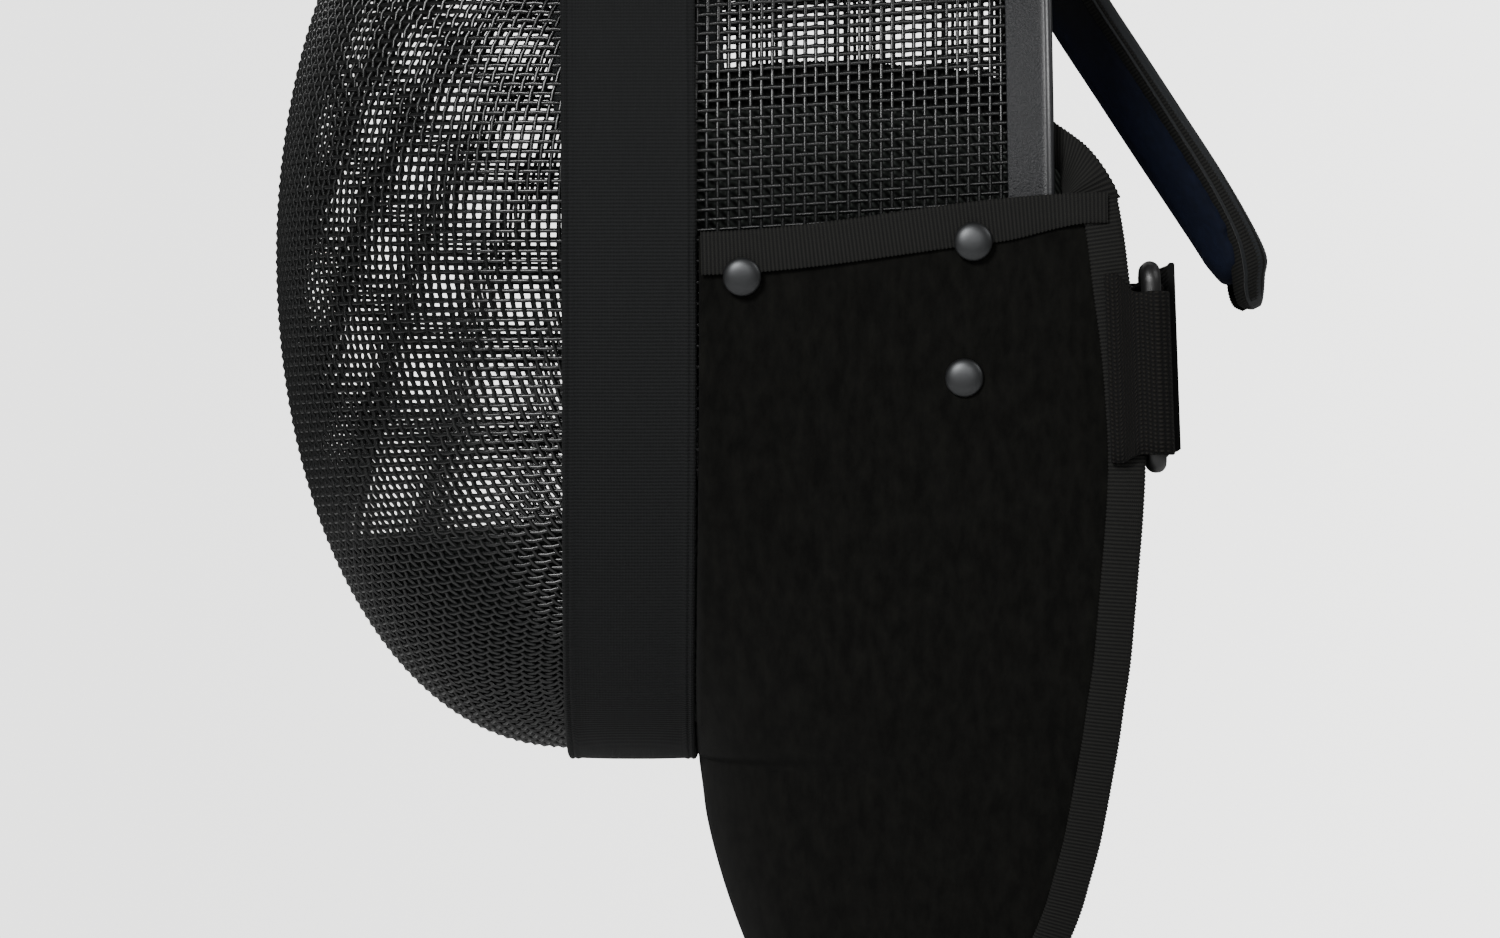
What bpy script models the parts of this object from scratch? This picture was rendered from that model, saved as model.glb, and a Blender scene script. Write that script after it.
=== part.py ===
"""Fencing mask: wire mesh face, banded seam, cloth bib, steel frame, tongue and strap.

Front of the mask looks along -Y, the wearer's left is +X, up is +Z. The origin is the
point where the head pad rests on the crown of the head.
"""
import math

import bmesh
import bpy
import numpy as np

# Clean start
for leftover in list(bpy.data.objects):
    bpy.data.objects.remove(leftover, do_unlink=True)

# Sizes in millimetres, turned into metres when a mesh is written
MM = 0.001
GAP = 0.3

# Seam: an egg-shaped loop seen from the front
SEAM_Z = -134.0
SEAM_HALF_WIDTH = 97.0
SEAM_CROWN = 147.0
SEAM_CHIN = 143.3
EGG = 0.10
SEAM_BOW = 3.5

# Wire mesh
WIRE_SHEET = 2.0
DOME_TIP_Y = -105.2
DOME_POWER = 2.1
JOIN_Y = 0.8
REAR_LEG_TURN = 117.0

# Seam band
BAND_WIDTH = 38.0
BAND_THICK = 3.0
BAND_LIFT = WIRE_SHEET / 2 + GAP

# Rear frame
FRAME_Y = 108.9
FRAME_DEPTH = 13.2
FRAME_HALF_WIDTH = 94.0
FRAME_RISE = 5.8
FRAME_LEG_PER_DEGREE = 2.1
FRAME_LEG_TAPER = 0.05
FRAME_LEAN = -0.0143
FRAME_LEG_TURN = 117.0

# Bib and its tapes
BIB_THICK = 2.5
TAPE_THICK = 1.0
TOP_TAPE = 11.0
EDGE_TAPE = 9.5

# Lining and its tape
LINING_DEPTH = 4.6
LINING_THICK = 2.0
LINING_TAPE = 10.0

# Head pad
PAD_HALF_WIDTH = 27.5
PAD_END_TURN = 79.5
PAD_LAST_DROP = 8.6

# Tongue
TONGUE_HALF_WIDTH = 20.0

# Rivets
RIVET_RADIUS = 5.4
RIVET_DOME = 2.3

# Rings, webbing and strap
RING_X = 100.2
RING_INNER_X = 81.0
RING_BAR = 2.8
RING_TOP_Z = -137.0
RING_BOTTOM_Z = -196.4
RING_TOP_Y = 149.3
RING_BOTTOM_Y = 151.4
WEB_THICK = 2.0
STRAP_THICK = 1.8

# Bib rows above the chin: seam angle, rear edge Y, rear edge Z, rear edge half-width
BIB_UPPER_ROWS = (
    (88.5, 138.9, -119.2, 100.2),
    (92.8, 140.9, -131.0, 100.4),
    (98.0, 142.6, -145.0, 100.5),
    (104.0, 144.6, -160.0, 100.5),
    (110.5, 146.0, -176.0, 100.4),
    (117.5, 146.8, -192.0, 100.0),
    (125.0, 146.3, -207.0, 99.0),
    (133.0, 145.2, -222.0, 97.0),
    (141.5, 144.1, -236.0, 94.3),
    (150.5, 143.0, -249.3, 91.4),
    (160.0, 141.4, -261.0, 88.4),
    (170.0, 139.9, -272.5, 85.0),
    (180.0, 138.2, -283.0, 81.6),
)

# Bib rows below the chin: front Y, front Z, rear Y, rear Z, rear half-width
BIB_LOWER_ROWS = (
    (20.6, -289.0, 136.6, -292.5, 78.2),
    (21.8, -298.0, 134.9, -301.6, 74.8),
    (24.4, -309.0, 132.4, -311.5, 70.8),
    (28.0, -321.0, 129.5, -322.0, 66.2),
    (32.8, -334.0, 124.8, -333.5, 61.0),
    (38.6, -347.0, 117.9, -346.0, 54.4),
    (44.8, -360.0, 108.6, -359.5, 46.0),
    (50.8, -373.0, 97.4, -373.5, 36.0),
    (56.2, -385.0, 85.6, -385.5, 25.0),
    (60.6, -395.0, 76.4, -395.2, 13.5),
)

# Upper edge of the lining: Y, Z
LINING_TOP = (
    (3.0, -92.0),
    (23.2, -84.5),
    (40.0, -81.8),
    (59.7, -80.9),
    (82.0, -82.5),
    (104.7, -85.9),
    (114.0, -92.0),
    (122.9, -100.1),
    (128.8, -105.7),
    (134.5, -111.6),
)

# Tongue along its centre line: Y, Z, thickness of the cushion, thickness of the back, width share
TONGUE_LINE = (
    (62.0, 10.6, 2.6, 2.2, 0.62),
    (76.0, 7.6, 6.0, 3.2, 0.72),
    (92.0, -1.2, 9.6, 4.2, 0.84),
    (106.5, -17.0, 11.6, 4.8, 0.92),
    (119.2, -37.5, 12.4, 5.0, 0.97),
    (132.6, -60.0, 12.4, 5.2, 1.0),
    (144.2, -77.8, 12.4, 5.2, 1.0),
    (156.2, -96.2, 12.2, 5.4, 1.0),
    (167.2, -113.0, 11.6, 5.8, 0.99),
    (176.0, -127.4, 9.8, 6.6, 0.95),
    (180.4, -136.0, 7.0, 8.4, 0.88),
)

# Rivets: name, Y, Z, lift off the bib
RIVETS = (
    ("rivet_front", 35.3, -141.4, TAPE_THICK + GAP + 0.35),
    ("rivet_upper", 99.9, -131.9, TAPE_THICK + GAP + 0.2),
    ("rivet_lower", 97.4, -169.8, 0.0),
)


def smooth_step(low, high, value):
    """Return 0 below low, 1 above high and an even S-curve between."""
    share = min(1.0, max(0.0, (value - low) / (high - low)))
    return share * share * (3.0 - 2.0 * share)


def seam_point(turn, grow=0.0):
    """Return X and Z of the seam loop at a turn in degrees from the crown."""
    angle = math.radians(turn)
    drop = SEAM_CROWN if math.cos(angle) >= 0.0 else SEAM_CHIN
    x = (SEAM_HALF_WIDTH + grow) * math.sin(angle) * (1.0 + EGG * math.cos(angle))
    return x, SEAM_Z + (drop + grow) * math.cos(angle)


def seam_y(turn):
    """Return the Y of the band's centre line, bowed back at the temples."""
    return SEAM_BOW * math.sin(math.radians(turn)) ** 2


def frame_point(turn, grow=0.0):
    """Return X and Z of the rear arch: an egg above, straight legs below."""
    side = 1.0 if turn >= 0.0 else -1.0
    bend = min(abs(turn), 90.0)
    angle = math.radians(bend)
    x = (FRAME_HALF_WIDTH + grow) * math.sin(angle) * (1.0 + 0.08 * math.cos(angle))
    z = SEAM_Z + FRAME_RISE + (SEAM_CROWN + grow) * math.cos(angle)
    leg = abs(turn) - bend
    return side * (x - FRAME_LEG_TAPER * leg), z - FRAME_LEG_PER_DEGREE * leg


def wall_point(turn, y):
    """Return a point of the rear mesh: from the seam loop straight back to the arch."""
    seam_x, seam_z = seam_point(turn)
    arch_x, arch_z = frame_point(turn)
    start = seam_y(turn) + BAND_WIDTH / 2 + 0.6
    share = max(0.0, (y - start) / (FRAME_Y + FRAME_DEPTH - start))
    return np.array((seam_x + (arch_x - seam_x) * share, y, seam_z + (arch_z - seam_z) * share))


def dome_point(turn, lift):
    """Return a point of the face: lift 0 degrees at the rim, 90 at the foremost point."""
    angle = math.radians(lift)
    ahead = math.sin(angle) ** (2.0 / DOME_POWER)
    seam_x, seam_z = seam_point(turn)
    rim = seam_y(turn) - BAND_WIDTH / 2
    x = seam_x * math.cos(angle)
    z = SEAM_Z + (seam_z - SEAM_Z) * math.cos(angle)
    return np.array((x, rim + (DOME_TIP_Y - rim) * ahead, z))


def bezier(start, start_pull, end_pull, end, share):
    """Return a point of a cubic curve given by its ends and pulls."""
    rest = 1.0 - share
    return (
        rest ** 3 * start
        + 3.0 * rest * rest * share * start_pull
        + 3.0 * rest * share * share * end_pull
        + share ** 3 * end
    )


def surface_normals(grid, close_rows=False, close_columns=False):
    """Return unit normals of a grid of points."""

    def slope(points, axis, closed):
        if closed:
            return np.roll(points, -1, axis) - np.roll(points, 1, axis)
        return np.gradient(points, axis=axis)

    normal = np.cross(slope(grid, 0, close_rows), slope(grid, 1, close_columns))
    length = np.linalg.norm(normal, axis=2, keepdims=True)
    return normal / np.maximum(length, 1e-9)


def make_material(name, colour, roughness, metallic=0.0):
    """Return a plain material with a base colour, a roughness and a metal share."""
    material = bpy.data.materials.new(name)
    material.use_nodes = True
    shader = material.node_tree.nodes["Principled BSDF"]
    shader.inputs["Base Color"].default_value = (*colour, 1.0)
    shader.inputs["Roughness"].default_value = roughness
    shader.inputs["Metallic"].default_value = metallic
    return material


def write_object(name, points, faces, material, crease=40.0):
    """Write points in millimetres and faces as one smooth-shaded closed object."""
    mesh = bpy.data.meshes.new(name)
    mesh.from_pydata([tuple(float(v) * MM for v in point) for point in points], [], faces)
    shaper = bmesh.new()
    shaper.from_mesh(mesh)
    bmesh.ops.remove_doubles(shaper, verts=shaper.verts, dist=0.00002)
    bmesh.ops.recalc_face_normals(shaper, faces=shaper.faces)
    shaper.to_mesh(mesh)
    shaper.free()
    mesh.shade_smooth()
    mesh.set_sharp_from_angle(angle=math.radians(crease))
    mesh.materials.append(material)
    built = bpy.data.objects.new(name, mesh)
    bpy.context.scene.collection.objects.link(built)
    return built


def make_loft(name, rings, material, closed=False, crease=40.0):
    """Join equal rings of points, end to end, and cap the ends unless it closes."""
    rings = [np.asarray(ring, float) for ring in rings]
    size = len(rings[0])
    points = np.vstack(rings)
    faces = []
    last = len(rings) if closed else len(rings) - 1
    for row in range(last):
        here = row * size
        there = (row + 1) % len(rings) * size
        for step in range(size):
            after = (step + 1) % size
            faces.append((here + step, here + after, there + after, there + step))
    if not closed:
        faces.append(tuple(range(size))[::-1])
        faces.append(tuple((len(rings) - 1) * size + step for step in range(size)))
    return write_object(name, points, faces, material, crease)


def make_sheet(name, grid, thick, material, toward, close_columns=False, crease=40.0):
    """Thicken a grid of points to both sides and close its rim; toward is its middle."""
    grid = np.asarray(grid, float)
    normal = surface_normals(grid, close_columns=close_columns)
    if np.sum(normal * (grid - np.asarray(toward, float))) < 0.0:
        normal = -normal
    outer = grid + normal * thick / 2
    inner = grid - normal * thick / 2
    rows, columns = grid.shape[:2]
    points = np.vstack((outer.reshape(-1, 3), inner.reshape(-1, 3)))
    half = rows * columns

    def at(row, column):
        return row * columns + column % columns

    faces = []
    last = columns if close_columns else columns - 1
    for row in range(rows - 1):
        for column in range(last):
            after = column + 1
            quad = (at(row, column), at(row, after), at(row + 1, after), at(row + 1, column))
            faces.append(quad)
            faces.append(tuple(half + corner for corner in quad[::-1]))
    rim = [(at(0, c), at(0, c + 1)) for c in range(last)]
    rim += [(at(rows - 1, c + 1), at(rows - 1, c)) for c in range(last)]
    if not close_columns:
        rim += [(at(r + 1, 0), at(r, 0)) for r in range(rows - 1)]
        rim += [(at(r, columns - 1), at(r + 1, columns - 1)) for r in range(rows - 1)]
    for first, second in rim:
        faces.append((first, half + first, half + second, second))
    return write_object(name, points, faces, material, crease)


# Materials
WIRE = make_material("coated_steel_wire", (0.012, 0.012, 0.013), 0.35, 0.3)
BAND = make_material("ribbed_elastic", (0.010, 0.011, 0.012), 0.85)
STEEL = make_material("black_painted_steel", (0.045, 0.046, 0.050), 0.45)
SUEDE = make_material("brushed_microfibre", (0.0045, 0.0045, 0.004), 0.95)
TAPE = make_material("ribbed_tape", (0.010, 0.010, 0.009), 0.8)
FLEECE = make_material("fleece_lining", (0.016, 0.017, 0.017), 0.95)
PAD_CLOTH = make_material("pad_cloth", (0.030, 0.032, 0.034), 0.9)
VELVET = make_material("blue_black_velvet", (0.004, 0.005, 0.011), 0.9)
TONGUE_CLOTH = make_material("blue_black_knit", (0.006, 0.008, 0.012), 0.75)
RIVET_METAL = make_material("gunmetal_rivet", (0.10, 0.10, 0.11), 0.38, 0.9)
PLASTIC = make_material("black_plastic", (0.018, 0.018, 0.018), 0.4)
WEBBING = make_material("black_webbing", (0.012, 0.012, 0.011), 0.75)

# All loops round the seam share the same steps, so their facets lie parallel
LOOP_TURNS = np.arange(0.0, 360.0, 9.0)


def arch_turns(last, *extra):
    """Return the shared steps between -last and last, with the ends and extra turns."""
    half = [turn for turn in LOOP_TURNS if 0.0 < turn < last - 2.0] + list(extra) + [last]
    return [-turn for turn in half[::-1]] + [0.0] + half


# Face: a domed wire sheet that runs back under the band to the join
dome_rows = []
row = []
for turn in LOOP_TURNS:
    x, z = seam_point(turn)
    row.append((x, seam_y(turn), z))
dome_rows.append(row)
for lift in (0.0, 10.0, 20.0, 30.0, 40.0, 50.0, 60.0, 70.0, 79.0, 85.5):
    dome_rows.append([dome_point(turn, lift) for turn in LOOP_TURNS])


def make_face():
    """Build the domed face with a small cap at its foremost point."""
    grid = np.asarray(dome_rows, float)
    rows, columns = grid.shape[:2]
    tip = np.array((0.0, DOME_TIP_Y, SEAM_Z))
    normal = surface_normals(grid, close_columns=True)
    if np.sum(normal * (grid - np.array((0.0, 0.0, SEAM_Z)))) < 0.0:
        normal = -normal
    ahead = np.array((0.0, -1.0, 0.0))
    half = WIRE_SHEET / 2
    outer = np.vstack(((grid + normal * half).reshape(-1, 3), [tip + ahead * half]))
    inner = np.vstack(((grid - normal * half).reshape(-1, 3), [tip - ahead * half]))
    shift = len(outer)
    faces = []
    for column in range(columns):
        after = (column + 1) % columns
        for row in range(rows - 1):
            here = row * columns
            there = here + columns
            quad = (here + column, here + after, there + after, there + column)
            faces.append(quad)
            faces.append(tuple(shift + corner for corner in quad[::-1]))
        end = (rows - 1) * columns
        cap = (end + column, end + after, rows * columns)
        faces.append(cap)
        faces.append(tuple(shift + corner for corner in cap[::-1]))
        faces.append((column, shift + column, shift + after, after))
    return write_object("front_mesh", np.vstack((outer, inner)), faces, WIRE)


make_face()

# Rear mesh: over the crown and temples, from the join to the middle of the frame
rear_turns = arch_turns(REAR_LEG_TURN)
rear_grid = []
for share in (0.0, 0.18, 0.46, 0.72, 0.87, 1.0):
    row = []
    for turn in rear_turns:
        front = seam_y(turn) + JOIN_Y + GAP
        row.append(wall_point(turn, front + (FRAME_Y + 8.6 - front) * share))
    rear_grid.append(row)
make_sheet("rear_mesh", rear_grid, WIRE_SHEET, WIRE, (0.0, 60.0, SEAM_Z))

# Seam band: one closed loop with softly rounded edges
BAND_PROFILE = (
    (-19.0, 0.5), (-18.6, 2.5), (-17.6, 3.0), (17.6, 3.0),
    (18.6, 2.5), (19.0, 0.5), (18.5, 0.0), (-18.5, 0.0),
)
band_rings = []
for turn in LOOP_TURNS:
    centre = np.array(seam_point(turn))
    ahead = np.array(seam_point(turn + 0.5)) - np.array(seam_point(turn - 0.5))
    outward = np.array((-ahead[1], ahead[0])) / np.linalg.norm(ahead)
    if outward @ (centre - np.array((0.0, SEAM_Z))) < 0.0:
        outward = -outward
    ring = []
    for along, up in BAND_PROFILE:
        x, z = centre + outward * (BAND_LIFT + up)
        ring.append((x, seam_y(turn) + along, z))
    band_rings.append(ring)
make_loft("seam_band", band_rings, BAND, closed=True, crease=50.0)

# Rear frame: a strip with a rolled back edge, over the end of the rear mesh
FRAME_PROFILE = (
    (0.0, 0.3), (0.3, 1.6), (10.9, 1.8), (11.6, 2.3), (12.6, 2.2),
    (13.2, 1.2), (13.0, -0.4), (12.1, -1.1), (11.2, -0.5), (10.9, 0.0), (0.3, 0.0),
)
frame_rings = []
for turn in arch_turns(FRAME_LEG_TURN):
    ahead = np.array(frame_point(turn + 0.5)) - np.array(frame_point(turn - 0.5))
    outward = np.array((-ahead[1], ahead[0])) / np.linalg.norm(ahead)
    if outward @ (np.array(frame_point(turn)) - np.array((0.0, SEAM_Z))) < 0.0:
        outward = -outward
    ring = []
    for along, up in FRAME_PROFILE:
        base_x, _, base_z = wall_point(turn, FRAME_Y + along)
        x, z = np.array((base_x, base_z)) + outward * (BAND_LIFT + 0.15 + up)
        ring.append((x, FRAME_Y + along + FRAME_LEAN * (z + 63.7), z))
    frame_rings.append(ring)
make_loft("rear_frame", frame_rings, STEEL, crease=50.0)


def bib_row_ends():
    """Return the start, the end and both pulls of every row of the bib's middle surface."""
    rows = []
    lift = BAND_LIFT + BIB_THICK / 2 + 0.4
    for turn, rear_y, rear_z, rear_x in BIB_UPPER_ROWS:
        x, z = seam_point(turn, lift)
        fold = smooth_step(84.0, 184.0, turn)
        front_x = max(x, 0.0) if turn < 180.0 else 0.0
        start = np.array((front_x, seam_y(turn) + BAND_WIDTH / 2 + 0.6 + 1.1 * fold, z))
        end = np.array((rear_x, rear_y, rear_z))
        reach = np.linalg.norm(end - start)
        heading = math.radians(90.0 * fold ** 1.35)
        leave = np.array((math.sin(heading), math.cos(heading), 0.02 * (1.0 - fold)))
        arrive = np.array((-0.07, 1.0, 0.0))
        pull = reach * (0.36 + 0.15 * fold * fold)
        rows.append((start, start + leave * pull, end - arrive * reach * 0.37, end))
    for front_y, front_z, rear_y, rear_z, rear_x in BIB_LOWER_ROWS:
        start = np.array((0.0, front_y + BIB_THICK / 2, front_z))
        end = np.array((rear_x, rear_y, rear_z))
        across = np.array((1.0, 0.0, 0.0)) * rear_x * 0.92
        arrive = np.array((-0.07, 1.0, 0.0)) * (rear_y - front_y) * 0.45
        rows.append((start, start + across, end - arrive, end))
    return rows


BIB_ROWS = bib_row_ends()
BIB_STEPS = 8


def bib_point(row, share):
    """Return a point of the bib's middle surface, share 0 in front and 1 at the rear edge."""
    start, start_pull, end_pull, end = BIB_ROWS[row]
    return bezier(start, start_pull, end_pull, end, share)


def make_bib():
    """Build both cheeks and the throat as one sheet, then give it its thickness."""
    shaper = bmesh.new()
    for side in (1.0, -1.0):
        net = []
        for row in range(len(BIB_ROWS)):
            line = []
            for step in range(BIB_STEPS + 1):
                point = bib_point(row, step / BIB_STEPS) * MM
                line.append(shaper.verts.new((point[0] * side, point[1], point[2])))
            net.append(line)
        for row in range(len(net) - 1):
            for step in range(BIB_STEPS):
                above = net[row][step:step + 2]
                below = net[row + 1][step:step + 2]
                quad = above + below[::-1]
                shaper.faces.new(quad if side > 0.0 else quad[::-1])
    bmesh.ops.remove_doubles(shaper, verts=shaper.verts, dist=0.00005)
    bmesh.ops.recalc_face_normals(shaper, faces=shaper.faces)
    shaper.faces.ensure_lookup_table()
    sample = max(shaper.faces, key=lambda face: face.calc_center_median().x)
    if sample.normal.x < 0.0:
        bmesh.ops.reverse_faces(shaper, faces=shaper.faces)
    mesh = bpy.data.meshes.new("bib")
    shaper.to_mesh(mesh)
    shaper.free()
    mesh.shade_smooth()
    mesh.materials.append(SUEDE)
    built = bpy.data.objects.new("bib", mesh)
    bpy.context.scene.collection.objects.link(built)
    thicken = built.modifiers.new("thickness", "SOLIDIFY")
    thicken.thickness = BIB_THICK * MM
    thicken.offset = 0.0
    thicken.use_even_offset = True
    return built


make_bib()


def bib_wall_x(y, z):
    """Return the half-width of the bib's middle surface beside a given Y and Z."""
    best = None
    for row in range(len(BIB_ROWS)):
        for step in range(0, 101):
            point = bib_point(row, step / 100.0)
            gap = (point[1] - y) ** 2 + (point[2] - z) ** 2
            if best is None or gap < best[0]:
                best = (gap, point[0])
    return best[1]


def mirror(points):
    """Return the same points on the other side of the middle plane."""
    return [(-x, y, z) for x, y, z in points]


# Tape over the bib's upper edges: an outer leg and a lip over the edge
top_rings = []
for step in range(0, 13):
    share = 0.004 + 0.904 * step / 12
    edge = bib_point(0, share)
    ahead = bib_point(0, min(1.0, share + 0.01)) - bib_point(0, max(0.0, share - 0.01))
    ahead /= np.linalg.norm(ahead)
    out = np.array((ahead[1], -ahead[0], 0.0))
    out /= np.linalg.norm(out)
    up = np.cross(out, ahead)
    if up[2] < 0.0:
        up = -up
    half = BIB_THICK / 2
    near = half + GAP
    far = near + TAPE_THICK
    outline = (
        (near, -TOP_TAPE + 1.3), (far, -TOP_TAPE + 1.3), (far, GAP + 0.5),
        (far - 0.5, GAP + TAPE_THICK), (-half + 0.2, GAP + TAPE_THICK),
        (-half, GAP + 0.6), (-half, GAP), (near, GAP),
    )
    top_rings.append([edge + out * across + up * along for across, along in outline])
make_loft("bib_top_binding_left", top_rings, TAPE)
make_loft("bib_top_binding_right", [mirror(ring) for ring in top_rings], TAPE)


def bib_edge_frames():
    """Return point, inward, outward and along directions down the bib's rear edge."""
    frames = []
    ends = [row[3] for row in BIB_ROWS]
    last = BIB_ROWS[-1]
    for row, end in enumerate(ends):
        inward = bib_point(row, 0.93) - end
        inward /= np.linalg.norm(inward)
        following = ends[min(row + 1, len(ends) - 1)]
        before = ends[max(row - 1, 0)]
        along = following - before
        along /= np.linalg.norm(along)
        inward -= along * (inward @ along)
        inward /= np.linalg.norm(inward)
        frames.append((end, inward, along))
    for share in (0.75, 0.5, 0.25):
        point = bib_point(len(BIB_ROWS) - 1, share)
        above = bib_point(len(BIB_ROWS) - 2, share) - point
        ahead = bib_point(len(BIB_ROWS) - 1, share - 0.05) - bib_point(len(BIB_ROWS) - 1, share + 0.05)
        ahead /= np.linalg.norm(ahead)
        above -= ahead * (above @ ahead)
        above /= np.linalg.norm(above)
        frames.append((point, above, ahead))
    point = last[0]
    above = BIB_ROWS[-2][0] - point
    above[0] = 0.0
    above /= np.linalg.norm(above)
    frames.append((point, above, np.array((-1.0, 0.0, 0.0))))
    return frames


# Tape round the rear and lower edge: folded over the edge like a channel
edge_half = []
last_out = np.array((1.0, 0.0, 0.0))
for point, inward, along in bib_edge_frames():
    out = np.cross(along, inward)
    if out @ last_out < 0.0:
        out = -out
    last_out = out
    tip = smooth_step(-365.0, -390.0, -abs(point[2])) if point[2] < -365.0 else 0.0
    near = BIB_THICK / 2 + GAP + 0.6 * tip
    far = near + TAPE_THICK
    reach = EDGE_TAPE - 3.0 * tip
    outline = (
        (near, reach), (far, reach),
        (far - 0.2, -GAP - TAPE_THICK), (0.2 - far, -GAP - TAPE_THICK),
        (-far, reach - 4.5), (-near, reach - 4.5), (-near, -GAP), (near, -GAP),
    )
    edge_half.append([point + out * across + inward * deep for across, deep in outline])
edge_rings = edge_half + [mirror(ring) for ring in edge_half[:-1][::-1]]
make_loft("bib_edge_binding", edge_rings, TAPE)


def lining_depth(y):
    """Return how far inside the wire the lining's middle lies; less behind the frame."""
    return LINING_DEPTH - 6.6 * smooth_step(FRAME_Y + 17.5, FRAME_Y + 26.0, y)


def lining_top_turn(y):
    """Return the turn where the lining's upper edge lies at a given Y."""
    z = float(np.interp(y, [p[0] for p in LINING_TOP], [p[1] for p in LINING_TOP]))
    low, high = 60.0, 112.0
    for _ in range(30):
        middle = (low + high) / 2
        if wall_point(middle, y)[2] > z:
            low = middle
        else:
            high = middle
    return low


def inward_of(point):
    """Return the direction from a wall point towards the middle of the head space."""
    away = np.array((point[0] / SEAM_HALF_WIDTH ** 2, 0.0, (point[2] - SEAM_Z) / SEAM_CROWN ** 2))
    if point[2] < SEAM_Z:
        away[2] *= 1.0 - smooth_step(20.0, 110.0, point[1])
    return -away / np.linalg.norm(away)


# Lining: columns run round the lower face, rows run from its front edge to the rear
lining_turns = (84.0, 90.0, 97.0, 104.0, 112.0, 121.0, 131.0, 142.0, 154.0, 167.0, 180.0)
REAR_LIMITS = (133.4, 134.4, 136.6, 138.6, 140.2, 131.0, 122.0, 96.0, 54.0, 17.0, 17.0)


def lining_column(number):
    """Return one column of the lining, from its front edge to its rear edge."""
    turn = lining_turns[number]
    column = []
    drop = (SEAM_Z - seam_point(turn)[1])
    target = 83.0
    cut = math.degrees(math.acos(min(1.0, target / drop))) if drop > target else 0.0
    for step in range(4):
        lift = cut * (1.0 - step / 4.0)
        if cut > 0.0:
            point = dome_point(turn, lift)
            ahead = dome_point(turn, lift + 1.0) - dome_point(turn, max(0.0, lift - 1.0))
            round_way = dome_point(turn + 1.0, lift) - dome_point(turn - 1.0, lift)
            normal = np.cross(ahead, round_way)
            normal /= np.linalg.norm(normal)
            if normal @ (np.array((0.0, -10.0, SEAM_Z)) - point) < 0.0:
                normal = -normal
        else:
            point = wall_point(turn, seam_y(turn) - 12.0 + step * 3.0)
            normal = inward_of(point)
        column.append(point + normal * LINING_DEPTH)
    start = seam_y(turn) + (1.0 - BAND_WIDTH / 2 if cut > 0.0 else 1.0)
    rear = REAR_LIMITS[number]
    bend = FRAME_Y + FRAME_DEPTH + 2.6
    if rear > bend:
        stations = [*np.linspace(start, bend, 7), (bend + rear) / 2, rear]
    else:
        stations = np.linspace(start, rear, 9)
    for y in stations:
        shown = turn
        if turn < 120.0:
            top = lining_top_turn(y)
            low = 121.0
            shown = top + (low - top) * (turn - 84.0) / (low - 84.0)
        point = wall_point(shown, y)
        depth = lining_depth(y) if turn < 120.0 else LINING_DEPTH
        column.append(point + inward_of(point) * depth)
    return column


half_lining = [lining_column(number) for number in range(len(lining_turns))]
lining_grid = half_lining + [mirror(column) for column in half_lining[:-1][::-1]]
make_sheet("inner_lining", lining_grid, LINING_THICK, FLEECE, (0.0, 30.0, SEAM_Z))

# Tape over the lining's upper edge, from the band back to the corner of the bib
lining_tape_rings = []
lining_array = np.asarray(half_lining, float)
lining_normal = surface_normals(lining_array)
for step in range(5, lining_array.shape[1]):
    edge = lining_array[0, step]
    below = lining_array[1, step]
    room = np.linalg.norm(edge - below)
    up = (edge - below) / room
    sign = -1.0 if lining_normal[0, step][0] > 0.0 else 1.0
    near = LINING_THICK / 2 + GAP + 0.2
    far = near + TAPE_THICK
    outline = (
        (-near, -LINING_TAPE), (-far, -LINING_TAPE), (-far, GAP + 0.9), (-far + 0.6, GAP + 1.6),
        (far - 0.6, GAP + 1.6), (far, GAP + 0.9),
        (far, -LINING_TAPE + 2.0), (near, -LINING_TAPE + 2.0), (near, GAP + 0.6), (-near, GAP + 0.6),
    )
    ring = []
    for across, tall in outline:
        share = max(0.0, -tall) / room
        inside = lining_normal[0, step] * (1.0 - share) + lining_normal[1, step] * share
        ring.append(edge + up * tall + inside * sign * across)
    lining_tape_rings.append(ring)
make_loft("lining_binding_left", lining_tape_rings, TAPE)
make_loft("lining_binding_right", [mirror(ring) for ring in lining_tape_rings], TAPE)

# Head pad: a C-shaped cushion inside the seam, thickest over the crown
PAD_PROFILE = (
    (-1.0, 0.45), (-0.97, 0.78), (-0.88, 0.93), (-0.5, 1.0), (0.5, 1.0), (0.88, 0.93), (0.97, 0.78),
    (1.0, 0.45), (0.98, 0.18), (0.92, 0.0), (0.3, 0.0), (-0.3, 0.0), (-0.92, 0.0), (-0.98, 0.18),
)
pad_rings = []
for turn in arch_turns(PAD_END_TURN, 76.0):
    centre = np.array(seam_point(turn))
    ahead = np.array(seam_point(turn + 0.5)) - np.array(seam_point(turn - 0.5))
    inward = np.array((ahead[1], -ahead[0])) / np.linalg.norm(ahead)
    if inward @ (np.array((0.0, SEAM_Z)) - centre) < 0.0:
        inward = -inward
    away = abs(turn)
    outer = WIRE_SHEET / 2 + GAP + 7.1 * smooth_step(40.0, 62.0, away)
    thick = 13.0 - outer + (PAD_LAST_DROP + outer - 13.0) * smooth_step(10.0, 60.0, away)
    round_off = smooth_step(-PAD_END_TURN - 0.1, -PAD_END_TURN + 6.0, -away)
    thick *= 0.45 + 0.55 * round_off
    narrow = 1.0 - 0.10 * smooth_step(20.0, 80.0, away) - 0.12 * (1.0 - round_off)
    ring = []
    for along, deep in PAD_PROFILE:
        y = seam_y(turn) + along * PAD_HALF_WIDTH * narrow
        bend = 0.0
        if y < seam_y(turn) - 17.0:
            bend = 0.055 * (seam_y(turn) - 17.0 - y) ** 1.5
        x, z = centre + inward * (outer + thick * deep + bend)
        ring.append((x, y, z))
    pad_rings.append(ring)
make_loft("head_pad", pad_rings, PAD_CLOTH, crease=60.0)


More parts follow.
